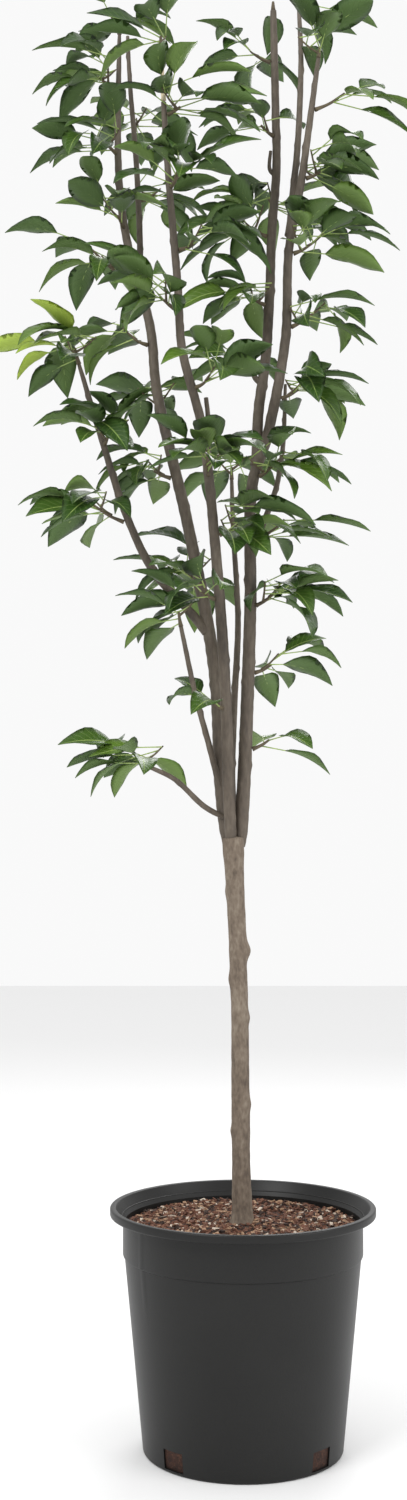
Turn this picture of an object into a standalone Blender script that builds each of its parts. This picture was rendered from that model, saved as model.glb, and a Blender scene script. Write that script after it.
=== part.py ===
"""A young pineapple pear tree, about 2 m tall, in a round nursery pot. Metres, +Z up.

The origin is the centre of the pot's flat underside, +X is the right and +Y the back. A bare trunk
stands in the potting mix and forks into upright masts. Short leafy spurs grow all along the masts,
and each spur with its twigs and leaves is one closed solid that keeps to its own space.
"""

import math
from collections import namedtuple

import bmesh
import bpy
import numpy as np
from mathutils import Matrix, Vector
from mathutils.bvhtree import BVHTree

MM = 0.001
GAP = 0.0003

# Pot: a moulded shell with a rolled lip, a straight collar, a tapered wall and four base windows.
POT_HEIGHT = 0.320
LIP_RADIUS = 0.178
LIP_DEPTH = 0.011
LIP_WIDTH = 0.0085
LIP_ROUND = 0.0018
COLLAR_RADIUS = 0.1607
COLLAR_BOTTOM = 0.2557
COLLAR_STEP = 0.0024
BASE_RADIUS = 0.1333
BASE_ROUND = 0.004
WALL = 0.0026
FLOOR = 0.004
POT_SIDES = 36
WINDOW_WIDTH = 0.033
WINDOW_BOTTOM = 0.0045
WINDOW_TOP = 0.030
WINDOW_ANGLES = (47.0, 137.0, 227.0, 317.0)

# Potting mix: fills the pot to a little under the lip.
SOIL_TOP = 0.297

# Trunk, in millimetres: height, lean to +X, lean to +Y, radius.
TRUNK_SIDES = 12
TRUNK_FOOT = 1000 * (SOIL_TOP + GAP)
TRUNK_STATIONS = (
    (TRUNK_FOOT, -1, 0, 18.0),
    (304, -1, 0, 15.6),
    (318, -1, 0, 13.8),
    (360, -2, 0, 12.6),
    (467, -3, 0, 12.3),
    (583, -4, 0, 11.6),
    (640, -6, 0, 11.8),
    (662, -6, 0, 12.8),
    (685, -7, 0, 12.1),
    (745, -10, -1, 12.4),
    (790, -12, -2, 14.2),
    (812, -13, -2, 14.6),
)

# Limbs, in millimetres: the way is what the middle of the limb passes through, butt to tip.
# A stub is a pruned shoot: height on the limb, direction, rise, length and radius.
Limb = namedtuple("Limb", "name butt tip sides way stubs")
TAPER = 0.55
STATION_SPACING = 52.0
LIMBS = (
    Limb("west_mast", 9.8, 2.2, 8,
         ((-19, 5, 800), (-29, 12, 890), (-38, 22, 1048), (-74, 34, 1243), (-116, 44, 1425),
          (-128, 48, 1530), (-160, 52, 1649), (-173, 54, 1760), (-172, 56, 1949)), ()),
    Limb("front_mast", 8.4, 2.0, 8,
         ((-15, -7, 800), (-19, -14, 880), (-22, -24, 980), (-30, -38, 1118), (-46, -60, 1296),
          (-56, -68, 1365), (-81, -80, 1459), (-87, -86, 1545), (-102, -95, 1723),
          (-109, -100, 1861)),
         ((1358, 40, 80, 42, 3.4),)),
    Limb("east_mast", 9.6, 2.6, 8,
         ((-3, 1, 800), (4, 2, 930), (11, -4, 1130), (12, -11, 1280), (36, -22, 1366),
          (58, -36, 1486), (62, -46, 1600), (79, -56, 1696), (102, -64, 1861)), ()),
    Limb("middle_mast", 7.4, 4.2, 8,
         ((20, -14, 1318), (22, -12, 1390), (33, 2, 1475), (39, 14, 1570), (42, 24, 1650),
          (49, 30, 1745), (48, 30, 1830), (45, 28, 1970)),
         ((1432, 190, 76, 44, 3.6), (1735, 185, 78, 36, 2.6))),
    Limb("east_rod", 5.0, 2.6, 6,
         ((63, -46, 1625), (69, -30, 1690), (77, -14, 1770), (82, 0, 1880), (80, 8, 1962)), ()),
    Limb("west_rod", 4.6, 2.4, 6,
         ((-143, 50, 1588), (-143, 74, 1657), (-149, 96, 1775), (-159, 112, 1900),
          (-163, 118, 1975)), ()),
    Limb("low_west_rod", 4.4, 2.6, 6,
         ((-29, 8, 876), (-48, -8, 948), (-64, -22, 1006), (-83, -38, 1095)), ()),
    Limb("far_west_bough", 6.4, 2.4, 6,
         ((-48, 25, 1096), (-82, 16, 1134), (-124, 5, 1181), (-160, -6, 1257), (-190, -15, 1350),
          (-222, -23, 1455)), ()),
    Limb("low_west_bough", 4.2, 2.6, 6,
         ((-20, 0, 838), (-52, -8, 855), (-90, -18, 890), (-126, -28, 908)), ()),
    Limb("rear_bough", 5.4, 2.4, 6,
         ((-8, 6, 806), (-14, 26, 890), (-10, 56, 1000), (-4, 90, 1120), (-10, 122, 1250),
          (-12, 140, 1330)), ()),
    Limb("rear_east_rod", 4.4, 2.0, 6,
         ((13, -2, 1204), (30, 22, 1246), (50, 50, 1306), (60, 74, 1372), (64, 96, 1458)), ()),
)

# Leaf masses: the limb, the height of the spur on it in millimetres (or its tip), the direction
# and rise in degrees (0 is +X, 90 is +Y), the length of the stem in millimetres, and the leaves.
TIP = None
Spur = namedtuple("Spur", "limb height direction rise stem leaves")
SPURS = (
    Spur("west_mast", TIP, 0, 0, 14, 7),
    Spur("west_mast", 1872, 186, 14, 26, 7),
    Spur("west_mast", 1775, 232, 10, 20, 7),
    Spur("west_mast", 1668, 250, 12, 20, 7),
    Spur("west_mast", 1585, 178, 30, 76, 7),
    Spur("west_mast", 1500, 205, 4, 22, 7),
    Spur("west_mast", 1408, 95, 20, 32, 7),
    Spur("west_mast", 1310, 188, 8, 24, 7),
    Spur("west_mast", 1165, 112, 12, 34, 7),
    Spur("west_rod", 1838, 80, 12, 26, 7),
    Spur("west_rod", 1722, 40, 10, 26, 7),
    Spur("front_mast", TIP, 0, 0, 10, 6),
    Spur("front_mast", 1768, 350, 16, 18, 7),
    Spur("front_mast", 1672, 300, 12, 18, 7),
    Spur("front_mast", 1590, 10, 10, 20, 7),
    Spur("front_mast", 1510, 196, 24, 16, 8),
    Spur("front_mast", 1408, 330, 12, 20, 7),
    Spur("front_mast", 1292, 262, 16, 20, 8),
    Spur("front_mast", 1215, 350, 14, 26, 7),
    Spur("front_mast", 1130, 205, 12, 22, 7),
    Spur("front_mast", 985, 230, 8, 18, 4),
    Spur("east_mast", 930, 352, 16, 24, 6),
    Spur("east_mast", 1035, 12, 12, 24, 6),
    Spur("east_mast", 1125, 338, 18, 26, 7),
    Spur("east_mast", 1215, 30, 16, 26, 7),
    Spur("east_mast", 1300, 318, 14, 22, 7),
    Spur("east_mast", 1405, 350, 12, 24, 7),
    Spur("east_mast", 1500, 8, 20, 28, 7),
    Spur("east_mast", 1598, 348, 12, 26, 7),
    Spur("east_mast", 1698, 6, 14, 20, 7),
    Spur("east_mast", 1790, 12, 20, 44, 6),
    Spur("east_mast", TIP, 0, 0, 12, 5),
    Spur("east_rod", TIP, 0, 0, 10, 5),
    Spur("middle_mast", TIP, 0, 0, 10, 7),
    Spur("middle_mast", 1895, 186, 12, 24, 7),
    Spur("middle_mast", 1790, 218, 10, 22, 7),
    Spur("middle_mast", 1690, 84, 12, 28, 7),
    Spur("middle_mast", 1645, 190, 14, 24, 7),
    Spur("middle_mast", 1545, 205, 10, 24, 7),
    Spur("middle_mast", 1450, 176, 10, 24, 7),
    Spur("low_west_rod", TIP, 0, 0, 16, 7),
    Spur("far_west_bough", TIP, 0, 0, 18, 8),
    Spur("far_west_bough", 1345, 290, 16, 20, 7),
    Spur("far_west_bough", 1240, 186, 16, 44, 7),
    Spur("low_west_bough", TIP, 0, 0, 20, 8),
    Spur("rear_bough", TIP, 0, 0, 16, 8),
)

# Twigs and leaves. The golden angle turns each leaf away from the one before it on the twig.
GOLDEN_ANGLE = math.radians(137.5)
SEED = 41
STEM_RADIUS = 0.0019
STEM_TIP = 0.0013
TWIG_RADIUS = 0.0012
TWIG_TIP = 0.0009
TWIG_LENGTH = (0.024, 0.036)
TWIG_PLACES = (0.4, 0.75)
TWIG_RISE = 0.55
FEW_LEAVES = 6
SHOOT_LIFT = 0.25
LEAF_SPACING = 0.0062
SITES = 5
PETIOLE_RISE = (-0.35, 0.75)
ARCH = (0.35, 1.15)
TWIST = 0.35
PETIOLE = (0.022, 0.044)
PETIOLE_RADIUS = 0.0009
BLADE = (0.060, 0.090)
BLADE_WIDTH = 0.52
WIDEST = 0.42
BLADE_THICKNESS = 0.0016
FOLD = math.radians(20)
SPACE_MARGIN = 0.0004
LIMB_MARGIN = 0.0012
CENTRE_OUT = 0.030
CENTRE_SHARE = 0.6
REACH = 0.125
CROWN_TOP = 1.982
TRIES = 90

# Finishes: base colour in linear light and roughness.
FINISHES = {
    "black_plastic": ((0.018, 0.018, 0.017), 0.42),
    "bark_mix": ((0.120, 0.050, 0.026), 0.95),
    "bark": ((0.150, 0.115, 0.090), 0.85),
    "foliage": ((0.040, 0.110, 0.022), 0.45),
}


def clear_scene():
    for thing in list(bpy.data.objects):
        bpy.data.objects.remove(thing, do_unlink=True)


def finish(name):
    """The material of this name, made the first time that it is asked for."""
    found = bpy.data.materials.get(name)
    if found:
        return found
    colour, roughness = FINISHES[name]
    made = bpy.data.materials.new(name)
    made.use_nodes = True
    shader = made.node_tree.nodes["Principled BSDF"]
    shader.inputs["Base Color"].default_value = (*colour, 1.0)
    shader.inputs["Roughness"].default_value = roughness
    shader.inputs["Metallic"].default_value = 0.0
    made.diffuse_color = (*colour, 1.0)
    return made


def new_object(name, points, faces, material=None):
    mesh = bpy.data.meshes.new(name)
    mesh.from_pydata([tuple(p) for p in points], [], faces)
    mesh.update()
    made = bpy.data.objects.new(name, mesh)
    bpy.context.scene.collection.objects.link(made)
    if material:
        mesh.materials.append(finish(material))
    return made


def smooth_round(thing, degrees=35):
    thing.data.shade_smooth()
    thing.data.set_sharp_from_angle(angle=math.radians(degrees))


def lathe(profile, sides):
    """Turns (radius, height) points round Z. A point at radius 0 is a single vertex on the axis."""
    turn = np.arange(sides) * 2 * math.pi / sides
    points, rings = [], []
    for radius, height in profile:
        first = len(points)
        if radius < 1e-9:
            points.append((0.0, 0.0, height))
            rings.append([first])
            continue
        points.extend((radius * math.cos(a), radius * math.sin(a), height) for a in turn)
        rings.append(list(range(first, first + sides)))
    faces = []
    for low, high in zip(rings, rings[1:]):
        for i in range(sides):
            j = (i + 1) % sides
            if len(low) == 1:
                faces.append((low[0], high[j], high[i]))
            elif len(high) == 1:
                faces.append((low[i], low[j], high[0]))
            else:
                faces.append((low[i], low[j], high[j], high[i]))
    return points, faces


def curve_through(stations, spacing):
    """Points along a Catmull-Rom curve through the stations, about this far apart.

    A station may hold a radius after its place, which is carried along the same curve.
    """
    knots = np.array(stations, float)
    padded = np.vstack([2 * knots[0] - knots[1], knots, 2 * knots[-1] - knots[-2]])
    points = [knots[0]]
    for i in range(1, len(padded) - 2):
        a, b, c, d = padded[i - 1:i + 3]
        steps = max(1, round(float(np.linalg.norm((c - b)[:3])) / spacing))
        for k in range(1, steps + 1):
            t = k / steps
            points.append(0.5 * (2 * b + (c - a) * t + (2 * a - 5 * b + 4 * c - d) * t ** 2
                                 + (3 * b - a - 3 * c + d) * t ** 3))
    return np.array(points)


def frames_along(points):
    """Two unit vectors across the path at each point, carried along it without twisting."""
    ahead = np.gradient(points, axis=0)
    ahead /= np.linalg.norm(ahead, axis=1)[:, None]
    side = np.cross(ahead[0], (0.0, 1.0, 0.0))
    if np.linalg.norm(side) < 0.1:
        side = np.cross(ahead[0], (1.0, 0.0, 0.0))
    sides = []
    for direction in ahead:
        side = side - direction * side.dot(direction)
        side = side / np.linalg.norm(side)
        sides.append(side)
    sides = np.array(sides)
    return ahead, sides, np.cross(ahead, sides)


def tube(points, radii, sides):
    """A tube round a path with flat ends."""
    _, side, other = frames_along(points)
    turn = np.arange(sides) * 2 * math.pi / sides
    rings = (points[:, None]
             + side[:, None] * (np.cos(turn)[None, :, None] * radii[:, None, None])
             + other[:, None] * (np.sin(turn)[None, :, None] * radii[:, None, None]))
    faces = [tuple(reversed(range(sides)))]
    for k in range(len(points) - 1):
        low, high = k * sides, (k + 1) * sides
        for i in range(sides):
            j = (i + 1) % sides
            faces.append((low + i, low + j, high + j, high + i))
    last = (len(points) - 1) * sides
    faces.append(tuple(range(last, last + sides)))
    return rings.reshape(-1, 3), faces


def combine(thing, operation, others):
    """Applies one Boolean between the object and a collection of the others, and removes those."""
    bin_ = bpy.data.collections.new("operands")
    bpy.context.scene.collection.children.link(bin_)
    for other in others:
        bpy.context.scene.collection.objects.unlink(other)
        bin_.objects.link(other)
    for solver in ("EXACT", "MANIFOLD"):
        step = thing.modifiers.new("combine", "BOOLEAN")
        step.operation = operation
        step.operand_type = "COLLECTION"
        step.collection = bin_
        step.solver = solver
        bpy.context.view_layer.update()
        graph = bpy.context.evaluated_depsgraph_get()
        result = bpy.data.meshes.new_from_object(thing.evaluated_get(graph))
        thing.modifiers.remove(step)
        if is_closed(result):
            break
    keep_largest(result)
    thing.data = result
    for other in others:
        bpy.data.objects.remove(other, do_unlink=True)
    bpy.data.collections.remove(bin_)


def is_closed(mesh):
    work = bmesh.new()
    work.from_mesh(mesh)
    closed = len(work.faces) > 0 and all(len(edge.link_faces) == 2 for edge in work.edges)
    work.free()
    return closed


def keep_largest(mesh):
    """Drops the loose scraps that a Boolean can leave."""
    work = bmesh.new()
    work.from_mesh(mesh)
    waiting = set(work.verts)
    islands = []
    while waiting:
        seed = waiting.pop()
        island, edge_of = {seed}, [seed]
        while edge_of:
            for edge in edge_of.pop().link_edges:
                for vertex in edge.verts:
                    if vertex in waiting:
                        waiting.discard(vertex)
                        island.add(vertex)
                        edge_of.append(vertex)
        islands.append(island)
    largest = max(islands, key=len)
    scraps = [v for v in work.verts if v not in largest]
    bmesh.ops.delete(work, geom=scraps, context="VERTS")
    bmesh.ops.triangulate(work, faces=work.faces[:])
    work.to_mesh(mesh)
    work.free()


def wall_radius(height):
    """The outer radius of the tapered wall under the collar."""
    share = height / COLLAR_BOTTOM
    return BASE_RADIUS + (COLLAR_RADIUS - COLLAR_STEP - BASE_RADIUS) * share


def inner_profile(clearance, top):
    """The inside of the pot from the middle of the floor to the height given, drawn in by this much."""
    low = FLOOR + clearance
    step = COLLAR_BOTTOM + WALL
    edge = COLLAR_RADIUS - WALL - clearance
    return [
        (0.0, low),
        (wall_radius(FLOOR) - WALL - clearance, low),
        (wall_radius(COLLAR_BOTTOM) - WALL - clearance, COLLAR_BOTTOM - WALL),
        (edge, step),
        (edge, top),
    ]


def make_pot():
    lip_bottom = POT_HEIGHT - LIP_DEPTH
    outside = [
        (0.0, 0.0),
        (BASE_RADIUS - BASE_ROUND, 0.0),
        (wall_radius(BASE_ROUND), BASE_ROUND),
        (wall_radius(COLLAR_BOTTOM), COLLAR_BOTTOM),
        (COLLAR_RADIUS, COLLAR_BOTTOM + COLLAR_STEP),
        (COLLAR_RADIUS, lip_bottom),
        (LIP_RADIUS - LIP_ROUND, lip_bottom),
        (LIP_RADIUS, lip_bottom + LIP_ROUND),
        (LIP_RADIUS, POT_HEIGHT - LIP_ROUND),
        (LIP_RADIUS - LIP_ROUND, POT_HEIGHT),
        (LIP_RADIUS - LIP_WIDTH, POT_HEIGHT),
    ]
    inside = inner_profile(0.0, SOIL_TOP + 0.004)
    pot = new_object("pot", *lathe(outside + inside[::-1], POT_SIDES), "black_plastic")
    windows = []
    for angle in WINDOW_ANGLES:
        turned = Matrix.Rotation(math.radians(angle), 4, "Z")
        middle = Vector((BASE_RADIUS, 0.0, (WINDOW_BOTTOM + WINDOW_TOP) / 2))
        window = bmesh.new()
        bmesh.ops.create_cube(window, size=1.0)
        size = (5 * WALL, WINDOW_WIDTH, WINDOW_TOP - WINDOW_BOTTOM)
        bmesh.ops.transform(window, matrix=turned @ Matrix.Translation(middle) @ Matrix.Diagonal((*size, 1)),
                            verts=window.verts)
        mesh = bpy.data.meshes.new("window")
        window.to_mesh(mesh)
        window.free()
        cutter = bpy.data.objects.new("window", mesh)
        bpy.context.scene.collection.objects.link(cutter)
        windows.append(cutter)
    combine(pot, "DIFFERENCE", windows)
    smooth_round(pot, 30)
    return pot


def make_potting_mix():
    filled = inner_profile(GAP, SOIL_TOP)
    mix = new_object("potting_mix", *lathe(filled + [(0.0, SOIL_TOP)], POT_SIDES), "bark_mix")
    smooth_round(mix, 30)
    return mix


def trunk_shape(extra):
    """Path and radii of the trunk in metres, with this much added to the radius."""
    stations = [(x, y, z, r) for z, x, y, r in TRUNK_STATIONS]
    track = curve_through(stations, 60.0) * MM
    return track[:, :3], track[:, 3] + extra


def limb_shape(limb, extra):
    """Path and radii of a limb in metres. The radius falls off as a power of the length left."""
    path = curve_through(limb.way, STATION_SPACING) * MM
    steps = np.linalg.norm(np.diff(path, axis=0), axis=1)
    share = np.minimum(np.concatenate([[0.0], np.cumsum(steps)]) / steps.sum(), 1.0)
    radii = (limb.tip + (limb.butt - limb.tip) * (1 - share) ** TAPER) * MM
    return path, radii + extra


def heading(direction, rise):
    """The unit vector towards this direction and rise, both in degrees."""
    turn, lift = math.radians(direction), math.radians(rise)
    return np.array([math.cos(lift) * math.cos(turn), math.cos(lift) * math.sin(turn), math.sin(lift)])


def place_on(path, radii, height):
    """The middle, direction and radius of a limb where it passes this height."""
    heights = path[:, 2]
    ahead = frames_along(path)[0]
    middle = np.array([np.interp(height, heights, path[:, k]) for k in range(3)])
    along = np.array([np.interp(height, heights, ahead[:, k]) for k in range(3)])
    return middle, along / np.linalg.norm(along), float(np.interp(height, heights, radii))


def stub_tubes(limb, path, radii, extra):
    shapes = []
    for height, direction, rise, length, radius in limb.stubs:
        foot, _, _ = place_on(path, radii, height * MM)
        ahead = heading(direction, rise)
        way = np.array([foot, foot + 0.35 * length * MM * (ahead + heading(direction, 20)) / 1.6,
                        foot + length * MM * ahead])
        shapes.append((way, np.array([1.0, 0.95, 0.85]) * radius * MM + extra))
    return shapes


def limb_object(name, limb, extra):
    path, radii = limb_shape(limb, extra)
    made = new_object(name, *tube(path, radii, limb.sides), "bark")
    stubs = [new_object(name + "_stub", *tube(way, thick, 6)) for way, thick
             in stub_tubes(limb, path, radii, extra)]
    if stubs:
        combine(made, "UNION", stubs)
    return made


def tree_of(thing):
    mesh = thing.data
    return BVHTree.FromPolygons([v.co.copy() for v in mesh.vertices], [tuple(p.vertices) for p in mesh.polygons])


def make_wood():
    """The trunk and the limbs. Each limb is cut clear of the wood that it springs from."""
    trunk = new_object("trunk", *tube(*trunk_shape(0.0), TRUNK_SIDES), "bark")
    smooth_round(trunk)
    sheaths = [new_object("sheath", *tube(*trunk_shape(GAP), TRUNK_SIDES))]
    limbs = {}
    for limb in LIMBS:
        made = limb_object(limb.name, limb, 0.0)
        tree = tree_of(made)
        near = [sheath for sheath in sheaths if tree.overlap(tree_of(sheath))]
        if near:
            cutters = [new_object("cutter", [v.co for v in s.data.vertices], [tuple(p.vertices) for p in s.data.polygons])
                       for s in near]
            combine(made, "DIFFERENCE", cutters)
        made.data.materials.clear()
        made.data.materials.append(finish("bark"))
        smooth_round(made)
        limbs[limb.name] = made
        sheaths.append(limb_object("sheath", limb, GAP))
    for sheath in sheaths:
        bpy.data.objects.remove(sheath, do_unlink=True)
    return trunk, limbs


def spur_start(spur, wood):
    """Where the stem of a spur starts, just clear of its limb, and its direction."""
    limb = next(one for one in LIMBS if one.name == spur.limb)
    path, radii = limb_shape(limb, 0.0)
    if spur.height is TIP:
        ahead = frames_along(path)[0][-1]
        return path[-1] + ahead * GAP, ahead
    middle, along, _ = place_on(path, radii, spur.height * MM)
    ahead = heading(spur.direction, spur.rise)
    surface = wood[spur.limb].ray_cast(Vector(middle), Vector(ahead))[3]
    lean = abs(float(ahead.dot(along)))
    clear = (GAP + STEM_RADIUS * lean) / math.sqrt(1 - lean ** 2)
    return middle + ahead * (surface + clear), ahead


LEAF_FACES = (
    (0, 1, 2), (0, 3, 4, 1), (1, 4, 5, 2), (2, 5, 3, 0),
    (3, 6, 7), (3, 7, 4), (4, 7, 8), (4, 8, 9, 5), (5, 9, 6, 3),
    (6, 10, 7), (7, 10, 8), (8, 10, 9), (9, 10, 6),
)


def leaf_shape(root, ahead, petiole, blade, arch, twist):
    """A leaf on its stalk: three corners at the root and at the blade's base, four where the blade is
    widest, and the tip. The blade is folded up along its midrib and arches downwards."""
    side = np.cross(ahead, (0.0, 0.0, 1.0))
    side /= np.linalg.norm(side)
    rise = np.cross(side, ahead)
    base = root + ahead * petiole
    side, rise = (side * math.cos(twist) + rise * math.sin(twist),
                  rise * math.cos(twist) - side * math.sin(twist))
    corners = []
    for place, size in ((root, PETIOLE_RADIUS), (base, 1.2 * PETIOLE_RADIUS)):
        corners += [place - side * size + rise * 0.6 * size, place + side * size + rise * 0.6 * size,
                    place - rise * size]
    bend = arch * WIDEST
    middle = base + blade * WIDEST * (ahead * math.cos(bend / 2) - rise * math.sin(bend / 2))
    lift = rise * math.cos(bend) + ahead * math.sin(bend)
    half = blade * BLADE_WIDTH / 2
    out, high = side * half * math.cos(FOLD), lift * half * math.sin(FOLD)
    thick = lift * BLADE_THICKNESS / 2
    corners += [middle - out + high, middle + thick, middle + out + high, middle - thick]
    corners.append(base + blade * (ahead * math.cos(arch / 2) - rise * math.sin(arch / 2)))
    return np.array(corners)


def in_space(points, own, centres, reach):
    """Whether the points are nearer to their own centre than to any other, and within its reach."""
    if (np.linalg.norm(points - own, axis=1) > reach).any():
        return False
    others = centres[np.linalg.norm(centres - own, axis=1) > 1e-6]
    apart = others - own
    length = np.linalg.norm(apart, axis=1)
    beyond = (points @ apart.T - ((others + own) / 2 * apart).sum(axis=1)) / length
    return bool((beyond < -SPACE_MARGIN).all())


def bvh(points, faces):
    return BVHTree.FromPolygons([Vector(p) for p in points], faces)


def shoot_path(start, ahead, length):
    """A shoot that sets off along its direction and bends upwards."""
    share = np.linspace(0.0, 1.0, 3)[:, None]
    rise = np.array([0.0, 0.0, 1.0])
    return start + ahead * length * share + rise * SHOOT_LIFT * length * share ** 2


def slanting(turn, rise):
    """The unit vector towards this turn in radians, climbing by this much for each step out."""
    out = np.array([math.cos(turn), math.sin(turn), rise])
    return out / np.linalg.norm(out)


def leaf_sites(shoots):
    """Where leaves sit: at each shoot's tip and then back along it, the shoots in turn."""
    sites = []
    for step in range(SITES):
        for way, bare in shoots:
            length = float(np.linalg.norm(way[2] - way[0]))
            share = 1 - (step + 0.3) * LEAF_SPACING / length
            if share > bare:
                half = int(share > 0.5)
                sites.append(way[half] + (way[half + 1] - way[half]) * (2 * share - half))
    return sites


def grow_mass(number, spur, start, ahead, centre, centres, wood_near):
    """The stem, twigs and leaves of one mass, as lists of (points, faces)."""
    draw = np.random.RandomState(SEED + number)
    stem = shoot_path(start, ahead, spur.stem * MM)
    shapes = [tube(stem, np.linspace(STEM_RADIUS, STEM_TIP, 3), 3)]
    shoots = [(stem, 0.25)]
    turn = draw.uniform(0, 2 * math.pi)
    for place in TWIG_PLACES[:1 if spur.leaves <= FEW_LEAVES else 2]:
        turn += GOLDEN_ANGLE
        foot = stem[0] * (1 - place) + stem[2] * place
        way = shoot_path(foot, slanting(turn, TWIG_RISE), draw.uniform(*TWIG_LENGTH))
        twig = tube(way, np.linspace(TWIG_RADIUS, TWIG_TIP, 3), 3)
        below = twig[0][:, 2].max() < CROWN_TOP
        if below and in_space(twig[0], centre, centres, REACH) and not bvh(*twig).overlap(wood_near):
            shapes.append(twig)
            shoots.append((way, 0.35))
    leaves = []
    sites = leaf_sites(shoots)
    for k in range(TRIES):
        if not sites or len(leaves) == spur.leaves:
            break
        turn += GOLDEN_ANGLE + draw.uniform(-0.3, 0.3)
        out = slanting(turn, draw.uniform(*PETIOLE_RISE))
        corners = leaf_shape(sites[0], out, draw.uniform(*PETIOLE), draw.uniform(*BLADE),
                             draw.uniform(*ARCH), draw.normal(0, TWIST))
        if corners[:, 2].max() > CROWN_TOP or not in_space(corners, centre, centres, REACH):
            continue
        if bvh(corners, LEAF_FACES).overlap(wood_near):
            continue
        blade = bvh(corners, LEAF_FACES[4:])
        if any(blade.overlap(other) for other in leaves):
            continue
        leaves.append(blade)
        shapes.append((corners, LEAF_FACES))
        sites.pop(0)
    return shapes


def make_masses(trunk, limbs):
    surfaces = {name: tree_of(limb) for name, limb in limbs.items()}
    points, faces = [], []
    for limb in LIMBS:
        path, radii = limb_shape(limb, LIMB_MARGIN)
        for ring_points, ring_faces in [tube(path, radii, limb.sides)] + [
                tube(way, thick, 6) for way, thick in stub_tubes(limb, path, radii, LIMB_MARGIN)]:
            faces += [tuple(len(points) + i for i in face) for face in ring_faces]
            points += [Vector(p) for p in ring_points]
    ring_points, ring_faces = tube(*trunk_shape(LIMB_MARGIN), TRUNK_SIDES)
    faces += [tuple(len(points) + i for i in face) for face in ring_faces]
    points += [Vector(p) for p in ring_points]
    wood_near = BVHTree.FromPolygons(points, faces)

    starts = [spur_start(spur, surfaces) for spur in SPURS]
    outs = [CENTRE_OUT + CENTRE_SHARE * spur.stem * MM for spur in SPURS]
    centres = np.array([start + ahead * out for (start, ahead), out in zip(starts, outs)])
    made = []
    counts = {}
    for number, (spur, (start, ahead)) in enumerate(zip(SPURS, starts)):
        shapes = grow_mass(number, spur, start, ahead, centres[number], centres, wood_near)
        counts[spur.limb] = counts.get(spur.limb, 0) + 1
        name = f"leaves_{spur.limb}_{counts[spur.limb]}"
        mass = new_object(name, *shapes[0], "foliage")
        parts = [new_object("shoot", *shape) for shape in shapes[1:]]
        combine(mass, "UNION", parts)
        mass.data.materials.clear()
        mass.data.materials.append(finish("foliage"))
        made.append((mass, len(shapes)))
    return made


def main():
    clear_scene()
    make_pot()
    make_potting_mix()
    trunk, limbs = make_wood()
    masses = make_masses(trunk, limbs)
    for mass, shapes in masses:
        print(mass.name, "shoots and leaves", shapes, "faces", len(mass.data.polygons))
    total = sum(len(thing.data.polygons) for thing, _ in masses)
    print("faces in all the leaf masses", total)


main()
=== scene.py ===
# %% [markdown]
# A young pear tree in a black nursery pot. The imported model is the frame: it holds the pot, the
# potting mix, the trunk, the limbs and the leaf masses at their real size. This script gives each
# of them its looks. It works in metres with +Z up, and the pot stands on the floor at height 0.

# %% Load the frame
import math
from collections import namedtuple

import bpy
import numpy as np
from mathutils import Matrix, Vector
from mathutils.bvhtree import BVHTree


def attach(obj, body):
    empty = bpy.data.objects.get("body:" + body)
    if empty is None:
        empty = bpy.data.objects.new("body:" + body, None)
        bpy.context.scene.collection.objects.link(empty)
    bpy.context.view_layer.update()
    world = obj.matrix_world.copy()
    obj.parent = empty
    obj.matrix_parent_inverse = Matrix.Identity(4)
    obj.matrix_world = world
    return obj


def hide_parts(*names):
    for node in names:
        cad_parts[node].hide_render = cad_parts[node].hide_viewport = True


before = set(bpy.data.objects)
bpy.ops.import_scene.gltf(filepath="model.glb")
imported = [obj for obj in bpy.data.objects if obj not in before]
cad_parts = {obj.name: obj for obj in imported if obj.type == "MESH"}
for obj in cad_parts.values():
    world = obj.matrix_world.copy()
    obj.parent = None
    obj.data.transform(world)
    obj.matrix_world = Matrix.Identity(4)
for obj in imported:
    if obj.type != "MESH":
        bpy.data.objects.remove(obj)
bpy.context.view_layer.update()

# %% [markdown]
# The camera stands where the photograph's did. The ellipses of the pot's lip and base gave its
# distance, its height and its small upward tilt.

# %% Camera
CAMERA_PLACE = (-0.0528, -2.3711, 0.8205)
CAMERA_TILT = 0.0468
LENS = 41.96
SENSOR = 36.0

eye = bpy.data.cameras.new("camera")
eye.sensor_fit = "VERTICAL"
eye.sensor_height = SENSOR
eye.lens = LENS
camera = bpy.data.objects.new("camera", eye)
camera.location = CAMERA_PLACE
camera.rotation_euler = (math.pi / 2 + CAMERA_TILT, 0.0, 0.0)
bpy.context.scene.collection.objects.link(camera)
bpy.context.scene.camera = camera
print("camera at", CAMERA_PLACE)

# %% [markdown]
# A plain pale floor and soft lights stand round the tree. Three broad lamps and a bright sky keep
# the shadows thin, so that the dark pot and the leaves show their own colours.

# %% Floor and light
FLOOR_SIZE = 14.0
PAPER_COLOUR = (0.86, 0.86, 0.86, 1)
PAPER_ROUGHNESS = 0.9
SKY_STRENGTH = 0.95
Lamp = namedtuple("Lamp", "name place target size power")
LAMPS = (
    Lamp("key_lamp", (-1.8, -2.2, 3.2), (0, 0, 1.1), 1.6, 62),
    Lamp("fill_lamp", (2.4, -1.4, 1.6), (0, 0, 0.8), 1.8, 30),
    Lamp("rear_lamp", (0.6, 2.4, 2.8), (0, 0, 1.2), 1.6, 34),
)

bpy.ops.mesh.primitive_plane_add(size=FLOOR_SIZE)
floor = bpy.context.object
floor.name = "floor"
paper = bpy.data.materials.new("paper")
paper.use_nodes = True
paper_shader = paper.node_tree.nodes["Principled BSDF"]
paper_shader.inputs["Base Color"].default_value = PAPER_COLOUR
paper_shader.inputs["Roughness"].default_value = PAPER_ROUGHNESS
floor.data.materials.append(paper)

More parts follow.
